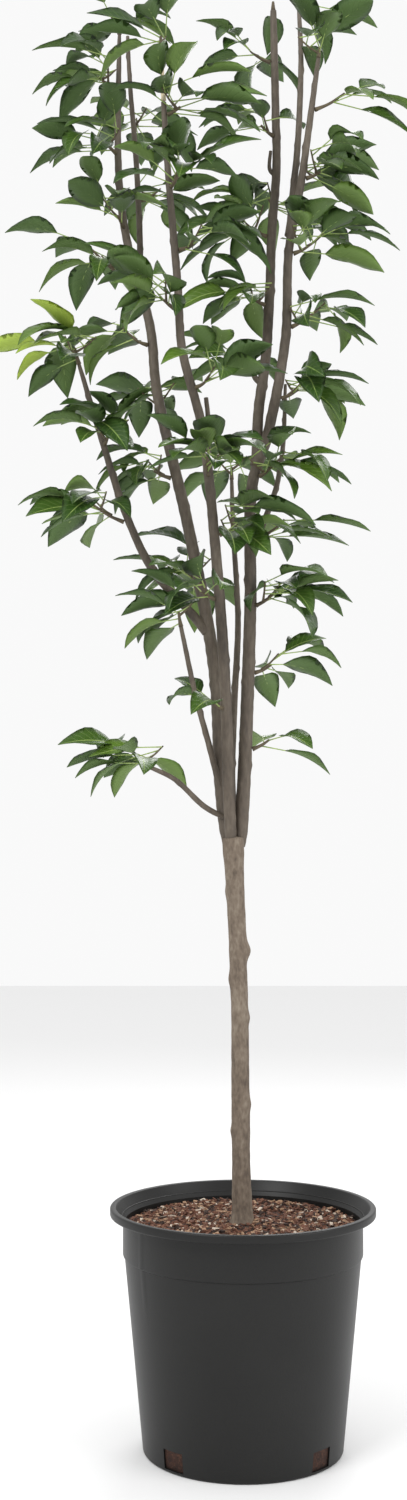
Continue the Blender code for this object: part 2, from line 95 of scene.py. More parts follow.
sky = bpy.data.worlds.new("sky")
sky.use_nodes = True
sky.node_tree.nodes["Background"].inputs["Color"].default_value = (1.0, 1.0, 1.0, 1)
sky.node_tree.nodes["Background"].inputs["Strength"].default_value = SKY_STRENGTH
bpy.context.scene.world = sky
bpy.context.scene.view_settings.view_transform = "Standard"

for lamp in LAMPS:
    light = bpy.data.lights.new(lamp.name, "AREA")
    light.size = lamp.size
    light.energy = lamp.power
    stand = bpy.data.objects.new(lamp.name, light)
    stand.location = lamp.place
    aim = Vector(lamp.target) - Vector(lamp.place)
    stand.rotation_euler = aim.to_track_quat("-Z", "Y").to_euler()
    bpy.context.scene.collection.objects.link(stand)
print("lamps", [lamp.name for lamp in LAMPS])

# %% [markdown]
# Four small functions build every finish: one feeds a socket, one makes a node, one starts a node
# group with its sockets, and one starts a material.

# %% Helpers for shader nodes
def feed(tree, socket, value):
    """Link the socket to another socket, or set its number, vector or colour."""
    if isinstance(value, bpy.types.NodeSocket):
        tree.links.new(value, socket)
    else:
        socket.default_value = value


def node(tree, kind, **inputs):
    """A new node of this kind with the named inputs fed. A low line stands for a space."""
    made = tree.nodes.new("ShaderNode" + kind)
    for name, value in inputs.items():
        feed(tree, made.inputs[name.replace("_", " ")], value)
    return made


def new_group(name, inputs, outputs):
    """A node group with these sockets. It comes with the sockets of its two ends."""
    group = bpy.data.node_groups.new(name, "ShaderNodeTree")
    for way, sockets in (("INPUT", inputs), ("OUTPUT", outputs)):
        for socket, kind in sockets:
            group.interface.new_socket(socket, in_out=way, socket_type="NodeSocket" + kind)
    given = group.nodes.new("NodeGroupInput").outputs
    return group, given, group.nodes.new("NodeGroupOutput").inputs


def new_material(name):
    """An empty material with its node tree and its Principled node."""
    made = bpy.data.materials.new(name)
    made.use_nodes = True
    return made, made.node_tree, made.node_tree.nodes["Principled BSDF"]


# %% [markdown]
# Every finish here has small changes of tone over its surface. One node group does that for all of
# them: it reads a place and gives a grain mask between 0 and 1, which is coarse noise mixed with
# fine noise.

# %% A shared grain group
NOISE_DETAIL = 4.0

grain_group, given, result = new_group(
    "surface_grain",
    [("Place", "Vector"), ("Coarse", "Float"), ("Fine", "Float"), ("Fine Share", "Float")],
    [("Mask", "Float")])
noises = [node(grain_group, "TexNoise", Vector=given["Place"], Scale=given[size],
               Detail=NOISE_DETAIL).outputs["Fac"] for size in ("Coarse", "Fine")]
grain_mix = node(grain_group, "Mix", Factor=given["Fine Share"], A=noises[0], B=noises[1])
feed(grain_group, result["Mask"], grain_mix.outputs["Result"])
print("made the group", grain_group.name)


def grain_mask(tree, place, coarse, fine, share):
    """The mask of the shared grain at this place."""
    grain = tree.nodes.new("ShaderNodeGroup")
    grain.node_tree = grain_group
    for name, value in (("Place", place), ("Coarse", coarse), ("Fine", fine), ("Fine Share", share)):
        feed(tree, grain.inputs[name], value)
    return grain.outputs["Mask"]


# %% [markdown]
# A finish is a Principled surface whose colour runs along a ramp by the grain mask, with roughness
# and bump from the same mask. The stretch squeezes the grain along one axis, as bark needs.

# %% A function for the grained finishes
RAMP_LOW = 0.32
RAMP_HIGH = 0.68
BUMP_STRENGTH = 0.8


def grained(name, colours, coarse, fine, share, rough, depth, stretch=(1, 1, 1)):
    """Colour ramp by grain; roughness from a pair of values; bump of this depth in metres."""
    made, tree, shader = new_material(name)
    place = node(tree, "TexCoord").outputs["Object"]
    stretched = node(tree, "Mapping", Vector=place, Scale=stretch).outputs["Vector"]
    mask = grain_mask(tree, stretched, coarse, fine, share)
    ramp = node(tree, "ValToRGB", Fac=mask)
    stops = ramp.color_ramp.elements
    for k, position in enumerate(np.linspace(RAMP_LOW, RAMP_HIGH, len(colours))):
        stop = stops[k] if k < 2 else stops.new(position)
        stop.position = position
        stop.color = (*colours[k], 1)
    spread = node(tree, "MapRange", Value=mask, To_Min=rough[0], To_Max=rough[1])
    bump = node(tree, "Bump", Height=mask, Distance=depth, Strength=BUMP_STRENGTH)
    feed(tree, shader.inputs["Base Color"], ramp.outputs["Color"])
    feed(tree, shader.inputs["Roughness"], spread.outputs["Result"])
    feed(tree, shader.inputs["Normal"], bump.outputs["Normal"])
    return made


# %% [markdown]
# These are the finishes of the pot, the bark and the earth. The pot's plastic shines less than the
# usual surface does.

# %% Finishes
PLASTIC_SHINE = 0.3

plastic = grained(
    "black_plastic", [(0.0065, 0.0065, 0.0062), (0.0105, 0.0105, 0.0100)],
    coarse=9, fine=420, share=0.35, rough=(0.36, 0.5), depth=0.0004)
plastic.node_tree.nodes["Principled BSDF"].inputs["Specular IOR Level"].default_value = PLASTIC_SHINE
old_bark = grained(
    "trunk_bark", [(0.075, 0.055, 0.040), (0.150, 0.115, 0.085), (0.235, 0.195, 0.150)],
    coarse=60, fine=260, share=0.5, rough=(0.75, 0.95), depth=0.0012, stretch=(1, 1, 0.45))
young_bark = grained(
    "limb_bark", [(0.045, 0.034, 0.025), (0.092, 0.072, 0.053), (0.150, 0.124, 0.095)],
    coarse=38, fine=240, share=0.4, rough=(0.55, 0.8), depth=0.0007, stretch=(1, 1, 0.3))
spur_bark = grained(
    "spur_bark", [(0.060, 0.045, 0.028), (0.140, 0.110, 0.062)],
    coarse=60, fine=300, share=0.4, rough=(0.6, 0.85), depth=0.0005)
dead_wood = grained(
    "bleached_wood", [(0.42, 0.33, 0.20), (0.72, 0.64, 0.47)],
    coarse=80, fine=300, share=0.4, rough=(0.7, 0.9), depth=0.0006, stretch=(1, 1, 0.25))
mix_earth = grained(
    "mix_earth", [(0.014, 0.006, 0.004), (0.050, 0.019, 0.011), (0.110, 0.046, 0.025)],
    coarse=130, fine=520, share=0.5, rough=(0.85, 1.0), depth=0.0015)
stalk_green = grained(
    "stalk_green", [(0.20, 0.32, 0.07), (0.42, 0.52, 0.17)],
    coarse=40, fine=300, share=0.3, rough=(0.4, 0.55), depth=0.0002)
print("finishes", [made.name for made in bpy.data.materials])

# %% [markdown]
# New meshes come from arrays. One helper turns points and faces into an object that rides on the
# root body and, where it stands for nodes, replaces them. The others give the faces between rings
# of points.

# %% Helpers for meshes
def make_piece(name, points, faces, material, slot, nodes=(), smooth=True):
    """An object from an array of points and a list of faces."""
    mesh = bpy.data.meshes.new(name)
    mesh.from_pydata(np.asarray(points, float).reshape(-1, 3).tolist(), [], [tuple(f) for f in faces])
    mesh.materials.append(material)
    if smooth:
        mesh.shade_smooth()
    mesh.update()
    made = bpy.data.objects.new(name, mesh)
    bpy.context.scene.collection.objects.link(made)
    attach(made, "root")
    if nodes:
        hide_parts(*nodes)
    return made


def ring_faces(rings, sides):
    """Quads between rings of this many points, each ring closed on itself."""
    k, i = np.meshgrid(np.arange(rings - 1), np.arange(sides), indexing="ij")
    j = (i + 1) % sides
    low, high = k * sides, (k + 1) * sides
    return np.stack([low + i, low + j, high + j, high + i], axis=-1).reshape(-1, 4)


def closed_faces(rings, sides):
    """Quads between rings, and a fan at either end to the two points that follow the rings."""
    count = rings * sides
    faces = [tuple(f) for f in ring_faces(rings, sides)]
    faces += [(count, (i + 1) % sides, i) for i in range(sides)]
    top = count - sides
    faces += [(count + 1, top + i, top + (i + 1) % sides) for i in range(sides)]
    return faces


def copies(faces, each, count):
    """The same faces for every copy, when each copy has this many points."""
    faces = np.asarray(faces)
    return (faces[None] + each * np.arange(count)[:, None, None]).reshape(-1, faces.shape[1]).tolist()


def many_tubes(rings, sides, count, flip=False):
    """The faces of many tubes with flat ends, all with the same number of rings and sides."""
    each = rings * sides
    step = -1 if flip else 1
    parts = (ring_faces(rings, sides), np.arange(sides)[None, ::-1], np.arange(each - sides, each)[None])
    return [face for part in parts for face in copies(part[:, ::step], each, count)]


def join(shapes):
    """Several (points, faces) as one."""
    points, faces, first = [], [], 0
    for shape_points, shape_faces in shapes:
        points.append(np.asarray(shape_points))
        faces += [tuple(int(first + i) for i in face) for face in shape_faces]
        first += len(shape_points)
    return np.vstack(points), faces


# %% [markdown]
# The pot is turned: its profile runs under the floor, up the tapered wall, over the rolled lip and
# down the inside. Its main sizes are those of the solid pot, and arcs round the foot and the lip.

# %% Profile of the pot
POT_HEIGHT = 0.320
LIP_RADIUS = 0.178
LIP_DEPTH = 0.011
LIP_WIDTH = 0.0085
LIP_ROUND = 0.0024
LIP_FLARE = 0.012
COLLAR_RADIUS = 0.1607
COLLAR_BOTTOM = 0.2557
COLLAR_STEP = 0.0024
COLLAR_ROUND = 0.003
BASE_RADIUS = 0.1333
BASE_ROUND = 0.004
WALL = 0.0026
FLOOR_TOP = 0.004
INSIDE_TOP = 0.301
HUB = 0.02
WALL_FROM = 0.02
WALL_RINGS = 14
CREASE = 0.002
FLARE_STEPS = (0.001, 0.004)


def wall_radius(height):
    """The outer radius of the tapered wall under the collar."""
    return BASE_RADIUS + (COLLAR_RADIUS - COLLAR_STEP - BASE_RADIUS) * height / COLLAR_BOTTOM


def rounded(centre, radius, start, end, steps=6):
    """Points on an arc of a profile, angles in degrees."""
    turn = np.radians(np.linspace(start, end, steps))
    return [(centre[0] + radius * math.cos(a), centre[1] + radius * math.sin(a)) for a in turn]


def pot_profile():
    """Radius and height from the hub of the underside, round the lip, to the hub of the floor."""
    lip_bottom = POT_HEIGHT - LIP_DEPTH
    lip_inside = LIP_RADIUS - LIP_WIDTH
    outside = rounded((wall_radius(BASE_ROUND) - BASE_ROUND, BASE_ROUND), BASE_ROUND, -88, 0)
    outside += [(wall_radius(z), z) for z in np.linspace(WALL_FROM, COLLAR_BOTTOM - CREASE, WALL_RINGS)]
    outside += [(wall_radius(COLLAR_BOTTOM), COLLAR_BOTTOM)]
    outside += [(COLLAR_RADIUS - 0.2 * COLLAR_ROUND, COLLAR_BOTTOM + 0.4 * COLLAR_ROUND)]
    outside += [(COLLAR_RADIUS, COLLAR_BOTTOM + COLLAR_ROUND), (COLLAR_RADIUS, lip_bottom - LIP_FLARE)]
    outside += [(COLLAR_RADIUS + FLARE_STEPS[0], lip_bottom - CREASE)]
    outside += [(COLLAR_RADIUS + FLARE_STEPS[1], lip_bottom)]
    outside += rounded((LIP_RADIUS - LIP_ROUND, lip_bottom + LIP_ROUND), LIP_ROUND, -90, 0)
    outside += rounded((LIP_RADIUS - LIP_ROUND, POT_HEIGHT - LIP_ROUND), LIP_ROUND, 0, 90)
    outside += rounded((lip_inside + LIP_ROUND, POT_HEIGHT - LIP_ROUND), LIP_ROUND, 90, 170)
    inside = [(COLLAR_RADIUS - WALL, INSIDE_TOP), (COLLAR_RADIUS - WALL, COLLAR_BOTTOM + WALL)]
    inside += [(wall_radius(z) - WALL, z) for z in (COLLAR_BOTTOM - WALL, COLLAR_BOTTOM / 2, FLOOR_TOP)]
    return np.array([(HUB, 0.0), *outside, *inside, (HUB, FLOOR_TOP)])


# %% [markdown]
# A turned surface is a function of the profile and the angle. On the pot, a low mould seam is added
# to the radius at one angle.

# %% Pot
POT_TURNS = 224
SEAM_ANGLE = 214.0
SEAM_PROUD = 0.0007
SEAM_WIDTH = 0.9
SEAM_BOTTOM = 0.2
SEAM_MARGIN = 0.0005


def turned(profile, turns, relief=None):
    """P(i, a) = (r_i cos a, r_i sin a, z_i), with the ends closed by points on the axis."""
    angle = np.arange(turns) * 2 * math.pi / turns
    radius = np.repeat(profile[:, :1], turns, axis=1)
    height = np.repeat(profile[:, 1:], turns, axis=1)
    if relief is not None:
        radius = radius + relief(height, angle[None, :], radius)
    points = np.stack([radius * np.cos(angle), radius * np.sin(angle), height], axis=-1).reshape(-1, 3)
    hubs = [[0, 0, profile[0, 1]], [0, 0, profile[-1, 1]]]
    return np.vstack([points, hubs]), closed_faces(len(profile), turns)


def pot_relief(height, angle, radius):
    """A mould seam: from 200 mm up to the lip the wall stands out by 0.7 mm at one angle. The step
    is a bell curve over the angle in degrees."""
    seam = SEAM_PROUD * np.exp(-((np.degrees(angle) - SEAM_ANGLE) / SEAM_WIDTH) ** 2)
    return seam * (height > SEAM_BOTTOM) * (radius < COLLAR_RADIUS + SEAM_MARGIN)


pot = make_piece("nursery_pot", *turned(pot_profile(), POT_TURNS, pot_relief), plastic, "pot", ["pot"])
print("pot faces before the windows", len(pot.data.polygons))

# %% [markdown]
# The drainage windows are cut with boxes. The result is applied, so the piece has no live modifier.

# %% Pot windows
WINDOW_WIDTH = 0.033
WINDOW_BOTTOM = 0.0045
WINDOW_TOP = 0.030
WINDOW_DEPTH = 6 * WALL
WINDOW_ANGLES = (47.0, 137.0, 227.0, 317.0)
SHARP_ANGLE = 32


def cut_window(body, angle):
    """Cut one box out of the body's wall at this angle in degrees."""
    bpy.ops.mesh.primitive_cube_add(size=1.0)
    cutter = bpy.context.object
    turn = math.radians(angle)
    cutter.location = (BASE_RADIUS * math.cos(turn), BASE_RADIUS * math.sin(turn),
                       (WINDOW_BOTTOM + WINDOW_TOP) / 2)
    cutter.rotation_euler = (0, 0, turn)
    cutter.scale = (WINDOW_DEPTH, WINDOW_WIDTH, WINDOW_TOP - WINDOW_BOTTOM)
    cut = body.modifiers.new("window", "BOOLEAN")
    cut.operation = "DIFFERENCE"
    cut.object = cutter
    bpy.context.view_layer.update()
    graph = bpy.context.evaluated_depsgraph_get()
    shaped = bpy.data.meshes.new_from_object(body.evaluated_get(graph))
    body.modifiers.remove(cut)
    body.data = shaped
    bpy.data.objects.remove(cutter, do_unlink=True)


for angle in WINDOW_ANGLES:
    cut_window(pot, angle)
pot.data.shade_smooth()
pot.data.set_sharp_from_angle(angle=math.radians(SHARP_ANGLE))
print("pot faces", len(pot.data.polygons))

# %% [markdown]
# The potting mix is one closed body: its top is a height over radius and angle, bumpy by a few
# millimetres, and its side runs down the inside of the pot so that the windows show earth.

# %% Potting mix
SOIL_TOP = 0.297
EDGE_GAP = 0.0003
SOIL_RINGS = 40
SOIL_TURNS = 160
SOIL_DROP = 0.002
SOIL_BUMP = 0.0010
SOIL_HUB = 0.004
BENT_WAVES = ((61, 2.1, 37), (73, 1.7, 43))
STRAIGHT_WAVE = (131, 97)
MOUND_HEIGHT = 0.004
MOUND_RADIUS = 0.04


def bent_wave(u, v, pitch, bend, pace):
    """sin(pitch u + bend sin(pace v)), a wave along u whose crests swing along v."""
    return np.sin(pitch * u + bend * np.sin(pace * v))


def soil_height(x, y):
    """Three crossing waves of 1 mm each, two of them bent, and a mound round the trunk."""
    bumps = bent_wave(x, y, *BENT_WAVES[0]) + bent_wave(y, x, *BENT_WAVES[1])
    bumps = bumps + np.sin(STRAIGHT_WAVE[0] * x - STRAIGHT_WAVE[1] * y)
    mound = MOUND_HEIGHT * np.exp(-(x ** 2 + y ** 2) / MOUND_RADIUS ** 2)
    return SOIL_TOP - SOIL_DROP + SOIL_BUMP * bumps + mound


soil_edge = COLLAR_RADIUS - WALL - EDGE_GAP
side_profile = [(wall_radius(FLOOR_TOP) - WALL - EDGE_GAP, FLOOR_TOP + EDGE_GAP),
                (wall_radius(COLLAR_BOTTOM) - WALL - EDGE_GAP, COLLAR_BOTTOM - WALL),
                (soil_edge, COLLAR_BOTTOM + WALL)]
top_profile = [(r, SOIL_TOP) for r in np.linspace(soil_edge, SOIL_HUB, SOIL_RINGS)]
soil_points, soil_faces = turned(np.array(side_profile + top_profile), SOIL_TURNS)
is_top = np.isclose(soil_points[:, 2], SOIL_TOP)
soil_points[is_top, 2] = soil_height(soil_points[is_top, 0], soil_points[is_top, 1])
make_piece("potting_earth", soil_points, soil_faces, mix_earth, "potting_mix", ["potting_mix"])
print("soil points", len(soil_points))

# %% [markdown]
# Chips of composted bark lie on the mix. Each is a box whose corners are pushed about, turned and
# tilted at random, and all are worked out in one array. A small share of the area, round the trunk,
# stays clear.

# %% Bark chips
CHIP_COUNT = 3400
CHIP_SEED = 7
CHIP_LENGTH = (5.0, 0.0010)
CHIP_WIDTH = (4.0, 0.0007)
LEAST_LENGTH = 0.0016
LEAST_WIDTH = 0.0012
CHIP_THICKNESS = (0.0010, 0.0030)
CORNER_PUSH = 0.16
CHIP_TILT = 0.35
CHIP_MARGIN = 0.006
CLEAR_SHARE = 0.012
CHIP_LIFT = 0.0016
CHIP_BOX = np.array([(x, y, z) for z in (-1, 1) for x, y in ((-1, -1), (1, -1), (1, 1), (-1, 1))]) / 2
CHIP_FACES = ((0, 3, 2, 1), (4, 5, 6, 7), (0, 1, 5, 4), (1, 2, 6, 5), (2, 3, 7, 6), (3, 0, 4, 7))


def about(axis, angle):
    """One rotation matrix about this axis for each angle."""
    c, s, zero, one = np.cos(angle), np.sin(angle), np.zeros_like(angle), np.ones_like(angle)
    rows = {"x": [one, zero, zero, zero, c, -s, zero, s, c],
            "y": [c, zero, s, zero, one, zero, -s, zero, c],
            "z": [c, -s, zero, s, c, zero, zero, zero, one]}[axis]
    return np.stack(rows, axis=-1).reshape(-1, 3, 3)


def chip_points(draw):
    """Corner = place + turn (box corner + push) size, for every corner of every chip."""
    size = np.stack([draw.gamma(*CHIP_LENGTH, CHIP_COUNT) + LEAST_LENGTH,
                     draw.gamma(*CHIP_WIDTH, CHIP_COUNT) + LEAST_WIDTH,
                     draw.uniform(*CHIP_THICKNESS, CHIP_COUNT)], axis=-1)
    push = draw.uniform(-CORNER_PUSH, CORNER_PUSH, (CHIP_COUNT, 8, 3))
    corners = (CHIP_BOX[None] + push) * size[:, None]
    yaw = about("z", draw.uniform(0, 2 * math.pi, CHIP_COUNT))
    tilt = about("x", draw.normal(0, CHIP_TILT, CHIP_COUNT))
    lean = about("y", draw.normal(0, CHIP_TILT, CHIP_COUNT))
    corners = np.einsum("nij,nkj->nki", yaw @ tilt @ lean, corners)
    radius = (soil_edge - CHIP_MARGIN) * np.sqrt(draw.uniform(CLEAR_SHARE, 1, CHIP_COUNT))
    angle = draw.uniform(0, 2 * math.pi, CHIP_COUNT)
    x, y = radius * np.cos(angle), radius * np.sin(angle)
    height = soil_height(x, y) + draw.uniform(0, CHIP_LIFT, CHIP_COUNT)
    return corners + np.stack([x, y, height], axis=-1)[:, None]


# %% [markdown]
# The chips are dealt at random into four colours, and each colour is a piece of its own.

# %% Colours of the chips
CHIP_COLOURS = {
    "red_chips": ((0.060, 0.022, 0.013), (0.190, 0.080, 0.045), 0.50),
    "dark_chips": ((0.012, 0.007, 0.005), (0.050, 0.024, 0.016), 0.26),
    "tan_chips": ((0.200, 0.110, 0.062), (0.420, 0.270, 0.170), 0.17),
    "pale_chips": ((0.380, 0.300, 0.230), (0.620, 0.540, 0.450), 0.07),
}

draw = np.random.RandomState(CHIP_SEED)
chip_corners = chip_points(draw)
deal = draw.uniform(0, 1, CHIP_COUNT)
reached = 0.0
for name, (dark, light, share) in CHIP_COLOURS.items():
    mine = chip_corners[(deal >= reached) & (deal < reached + share)]
    reached += share
    finish = grained(name, [dark, light], coarse=170, fine=700, share=0.5, rough=(0.8, 1.0),
                     depth=0.0006)
    faces = copies(CHIP_FACES, len(CHIP_BOX), len(mine))
    make_piece(name, mine, faces, finish, "potting_mix", smooth=False)
    print(name, len(mine))

# %% [markdown]
# The wood follows the same ways as the solids. A trunk station is a height, a place and a radius,
# and a limb has a thickness at its butt and its tip, stations, and perhaps pruned stubs. All of
# them are in millimetres. A stub is a height, a direction and a rise in degrees, a length and a
# radius.

# %% Stations of the trunk and limbs
MM = 0.001
GAP = 0.0003
TRUNK_FOOT = (SOIL_TOP + GAP) / MM
TRUNK_STATIONS = (
    (TRUNK_FOOT, -1, 0, 18.0), (304, -1, 0, 15.6), (318, -1, 0, 13.8), (360, -2, 0, 12.6),
    (467, -3, 0, 12.3), (583, -4, 0, 11.6), (640, -6, 0, 11.8), (662, -6, 0, 12.8),
    (685, -7, 0, 12.1), (745, -10, -1, 12.4), (790, -12, -2, 14.2), (812, -13, -2, 14.6),
)
Limb = namedtuple("Limb", "name butt tip sides way stubs")
LIMBS = (
    Limb("west_mast", 9.8, 2.2, 8,
         ((-19, 5, 800), (-29, 12, 890), (-38, 22, 1048), (-74, 34, 1243), (-116, 44, 1425),
          (-128, 48, 1530), (-160, 52, 1649), (-173, 54, 1760), (-172, 56, 1949)), ()),
    Limb("front_mast", 8.4, 2.0, 8,
         ((-15, -7, 800), (-19, -14, 880), (-22, -24, 980), (-30, -38, 1118), (-46, -60, 1296),
          (-56, -68, 1365), (-81, -80, 1459), (-87, -86, 1545), (-102, -95, 1723),
          (-109, -100, 1861)),
         ((1358, 40, 80, 42, 3.4),)),
    Limb("east_mast", 9.6, 2.6, 8,
         ((-3, 1, 800), (4, 2, 930), (11, -4, 1130), (12, -11, 1280), (36, -22, 1366),
          (58, -36, 1486), (62, -46, 1600), (79, -56, 1696), (102, -64, 1861)), ()),
    Limb("middle_mast", 7.4, 4.2, 8,
         ((20, -14, 1318), (22, -12, 1390), (33, 2, 1475), (39, 14, 1570), (42, 24, 1650),
          (49, 30, 1745), (48, 30, 1830), (45, 28, 1970)),
         ((1432, 190, 76, 44, 3.6), (1735, 185, 78, 36, 2.6))),
    Limb("east_rod", 5.0, 2.6, 6,
         ((63, -46, 1625), (69, -30, 1690), (77, -14, 1770), (82, 0, 1880), (80, 8, 1962)), ()),
    Limb("west_rod", 4.6, 2.4, 6,
         ((-143, 50, 1588), (-143, 74, 1657), (-149, 96, 1775), (-159, 112, 1900),
          (-163, 118, 1975)), ()),
    Limb("low_west_rod", 4.4, 2.6, 6,
         ((-29, 8, 876), (-48, -8, 948), (-64, -22, 1006), (-83, -38, 1095)), ()),
    Limb("far_west_bough", 6.4, 2.4, 6,
         ((-48, 25, 1096), (-82, 16, 1134), (-124, 5, 1181), (-160, -6, 1257), (-190, -15, 1350),
          (-222, -23, 1455)), ()),
    Limb("low_west_bough", 4.2, 2.6, 6,
         ((-20, 0, 838), (-52, -8, 855), (-90, -18, 890), (-126, -28, 908)), ()),
    Limb("rear_bough", 5.4, 2.4, 6,
         ((-8, 6, 806), (-14, 26, 890), (-10, 56, 1000), (-4, 90, 1120), (-10, 122, 1250),
          (-12, 140, 1330)), ()),
    Limb("rear_east_rod", 4.4, 2.0, 6,
         ((13, -2, 1204), (30, 22, 1246), (50, 50, 1306), (60, 74, 1372), (64, 96, 1458)), ()),
)
print("limbs", len(LIMBS))

# %% [markdown]
# A way is a smooth curve through its stations. Rings of points stand across it, turned as little as
# can be from one to the next, and these rings make a tube.

# %% Curves and tubes
STEEP = 0.1


def curve_through(stations, spacing):
    """Points along a Catmull-Rom curve through the stations, about this far apart."""
    knots = np.array(stations, float)
    padded = np.vstack([2 * knots[0] - knots[1], knots, 2 * knots[-1] - knots[-2]])
    points = [knots[0]]
    for i in range(1, len(padded) - 2):
        a, b, c, d = padded[i - 1:i + 3]
        steps = max(1, round(float(np.linalg.norm((c - b)[:3])) / spacing))
        for k in range(1, steps + 1):
            t = k / steps
            points.append(0.5 * (2 * b + (c - a) * t + (2 * a - 5 * b + 4 * c - d) * t ** 2
                                 + (3 * b - a - 3 * c + d) * t ** 3))
    return np.array(points)


def frames_along(points):
    """The direction at each point, and two unit vectors across it that don't twist."""
    ahead = np.gradient(points, axis=0)
    ahead /= np.linalg.norm(ahead, axis=1)[:, None]
    side = np.cross(ahead[0], (0.0, 1.0, 0.0))
    if np.linalg.norm(side) < STEEP:
        side = np.cross(ahead[0], (1.0, 0.0, 0.0))
    sides = []
    for direction in ahead:
        side = side - direction * side.dot(direction)
        side = side / np.linalg.norm(side)
        sides.append(side)
    sides = np.array(sides)
    return ahead, sides, np.cross(ahead, sides)


def lengths_along(path):
    """How far along the path each of its points is."""
    return np.concatenate([[0.0], np.cumsum(np.linalg.norm(np.diff(path, axis=0), axis=1))])


def sweep(path, radius):
    """P(i, a) = path_i + radius(i, a) (side_i cos a + other_i sin a)."""
    _, side, other = frames_along(path)
    turn = np.arange(radius.shape[1]) * 2 * math.pi / radius.shape[1]
    points = (path[:, None] + side[:, None] * (np.cos(turn)[None, :, None] * radius[..., None])
              + other[:, None] * (np.sin(turn)[None, :, None] * radius[..., None]))
    return points.reshape(-1, 3)


def tube(path, radii, sides):
    """A plain tube round a path with flat ends."""
    last = (len(path) - 1) * sides
    caps = [tuple(reversed(range(sides))), tuple(range(last, last + sides))]
    faces = [tuple(f) for f in ring_faces(len(path), sides)]
    return sweep(path, np.repeat(radii[:, None], sides, axis=1)), faces + caps


# %% [markdown]
# These functions give the ways and radii of the trunk, the limbs and their stubs in metres. With the
# coarse spacing they give the solids' own rings, which the growth of the leaves goes by.

# %% Shapes of the trunk and limbs
TRUNK_SIDES = 12
TRUNK_SPACING = 60.0
STATION_SPACING = 52.0
TAPER = 0.55
STUB_SIDES = 6
STUB_TAPER = np.array([1.0, 0.95, 0.85])
ELBOW_RISE = 20
ELBOW_SHARE = 0.35 / 1.6


def trunk_shape(extra, spacing=TRUNK_SPACING):
    """Path and radii of the trunk, with this much added to the radius."""
    track = curve_through([(x, y, z, r) for z, x, y, r in TRUNK_STATIONS], spacing) * MM
    return track[:, :3], track[:, 3] + extra


def limb_shape(limb, extra, spacing=STATION_SPACING):
    """Path and radii of a limb. The radius falls off as a power of the length left."""
    path = curve_through(limb.way, spacing) * MM
    along = lengths_along(path)
    share = along / along[-1]
    return path, (limb.tip + (limb.butt - limb.tip) * (1 - share) ** TAPER) * MM + extra


def heading(direction, rise):
    """The unit vector towards this direction and rise, both in degrees."""
    turn, lift = math.radians(direction), math.radians(rise)
    return np.array([math.cos(lift) * math.cos(turn), math.cos(lift) * math.sin(turn), math.sin(lift)])


def place_on(path, height):
    """The middle and direction of a limb where it passes this height."""
    ahead = frames_along(path)[0]
    middle = np.array([np.interp(height, path[:, 2], path[:, k]) for k in range(3)])
    along = np.array([np.interp(height, path[:, 2], ahead[:, k]) for k in range(3)])
    return middle, along / np.linalg.norm(along)


def stub_shapes(limb, path, extra):
    """Path and radii of each pruned stub: it leaves its limb low and then turns up."""
    shapes = []
    for height, direction, rise, length, radius in limb.stubs:
        foot, _ = place_on(path, height * MM)
        ahead = heading(direction, rise)
        elbow = foot + ELBOW_SHARE * length * MM * (ahead + heading(direction, ELBOW_RISE))
        way = np.array([foot, elbow, foot + length * MM * ahead])
        shapes.append((way, STUB_TAPER * radius * MM + extra))
    return shapes


# %% [markdown]
# Bark is relief on a tube. The radius at a length s and an angle a is the tube's own radius, plus a
# sum of slow waves in s and a, plus a round swelling at every knot or bud. A collar widens the foot,
# or narrows it where its value is below 0.

# %% Bark relief
GOLDEN_ANGLE = math.radians(137.5)
WAVE_COUNT = 9
WAVE_TURNS = 7
WAVE_PITCH = (40, 420)
WAVE_FADE = 0.4
WAVE_SCALE = 3.0
FULL_TURN = 6.3
COLLAR_LENGTH = 0.012
TIP_DOME = 0.25


def waves(along, turn, seed):
    """Sum of sines in length and angle, each with a whole number of turns, so that it closes."""
    draw = np.random.RandomState(seed)
    total = 0.0
    for k in range(WAVE_COUNT):
        around = draw.randint(0, WAVE_TURNS)
        pitch = draw.uniform(*WAVE_PITCH)
        phase = draw.uniform(0, FULL_TURN)
        total = total + np.sin(around * turn + pitch * along + phase) / (1 + WAVE_FADE * k)
    return total / WAVE_SCALE


def bark_tube(path, radii, sides, relief, seed, knots=(), collar=0.0):
    """R(s, a) = r(s) (1 + relief waves(s, a) + collar e^(-s / 12 mm)) + knots. Each knot is a bell
    curve over the distance from its place, angle and all."""
    along = lengths_along(path)[:, None]
    turn = (np.arange(sides) * 2 * math.pi / sides)[None, :]
    radius = radii[:, None] * (1 + relief * waves(along, turn, seed))
    radius = radius + collar * radii[:, None] * np.exp(-along / COLLAR_LENGTH)
    for place, angle, proud, spread in knots:
        away = (turn - angle + math.pi) % (2 * math.pi) - math.pi
        far = ((along - place) ** 2 + (away * radii[:, None]) ** 2) / spread ** 2
        radius = radius + proud * np.exp(-far)
    tip = path[-1] + frames_along(path)[0][-1] * radii[-1] * TIP_DOME
    return np.vstack([sweep(path, radius), path[:1], tip[None]]), closed_faces(len(path), sides)


# %% [markdown]
# The trunk is sampled every 2 mm, so that its knots and scars have real shape. They stand where the
# photograph shows them: a height in metres, an angle, and a swelling and its spread in millimetres.

# %% Trunk
TRUNK_FINE_SPACING = 2.0
TRUNK_FINE_SIDES = 56
TRUNK_RELIEF = 0.035
TRUNK_SEED = 3
Knot = namedtuple("Knot", "height angle proud spread")
TRUNK_KNOTS = (
    Knot(0.420, 185, 1.6, 7), Knot(0.455, -8, 2.0, 8), Knot(0.570, 0, 2.2, 8), Knot(0.622, 180, 2.2, 9),
    Knot(0.660, 12, 4.4, 11), Knot(0.706, 275, -1.2, 7), Knot(0.762, 262, -1.4, 5),
    Knot(0.512, 268, 1.3, 6), Knot(0.362, 250, 1.2, 6), Knot(0.740, 170, 1.5, 9),
)

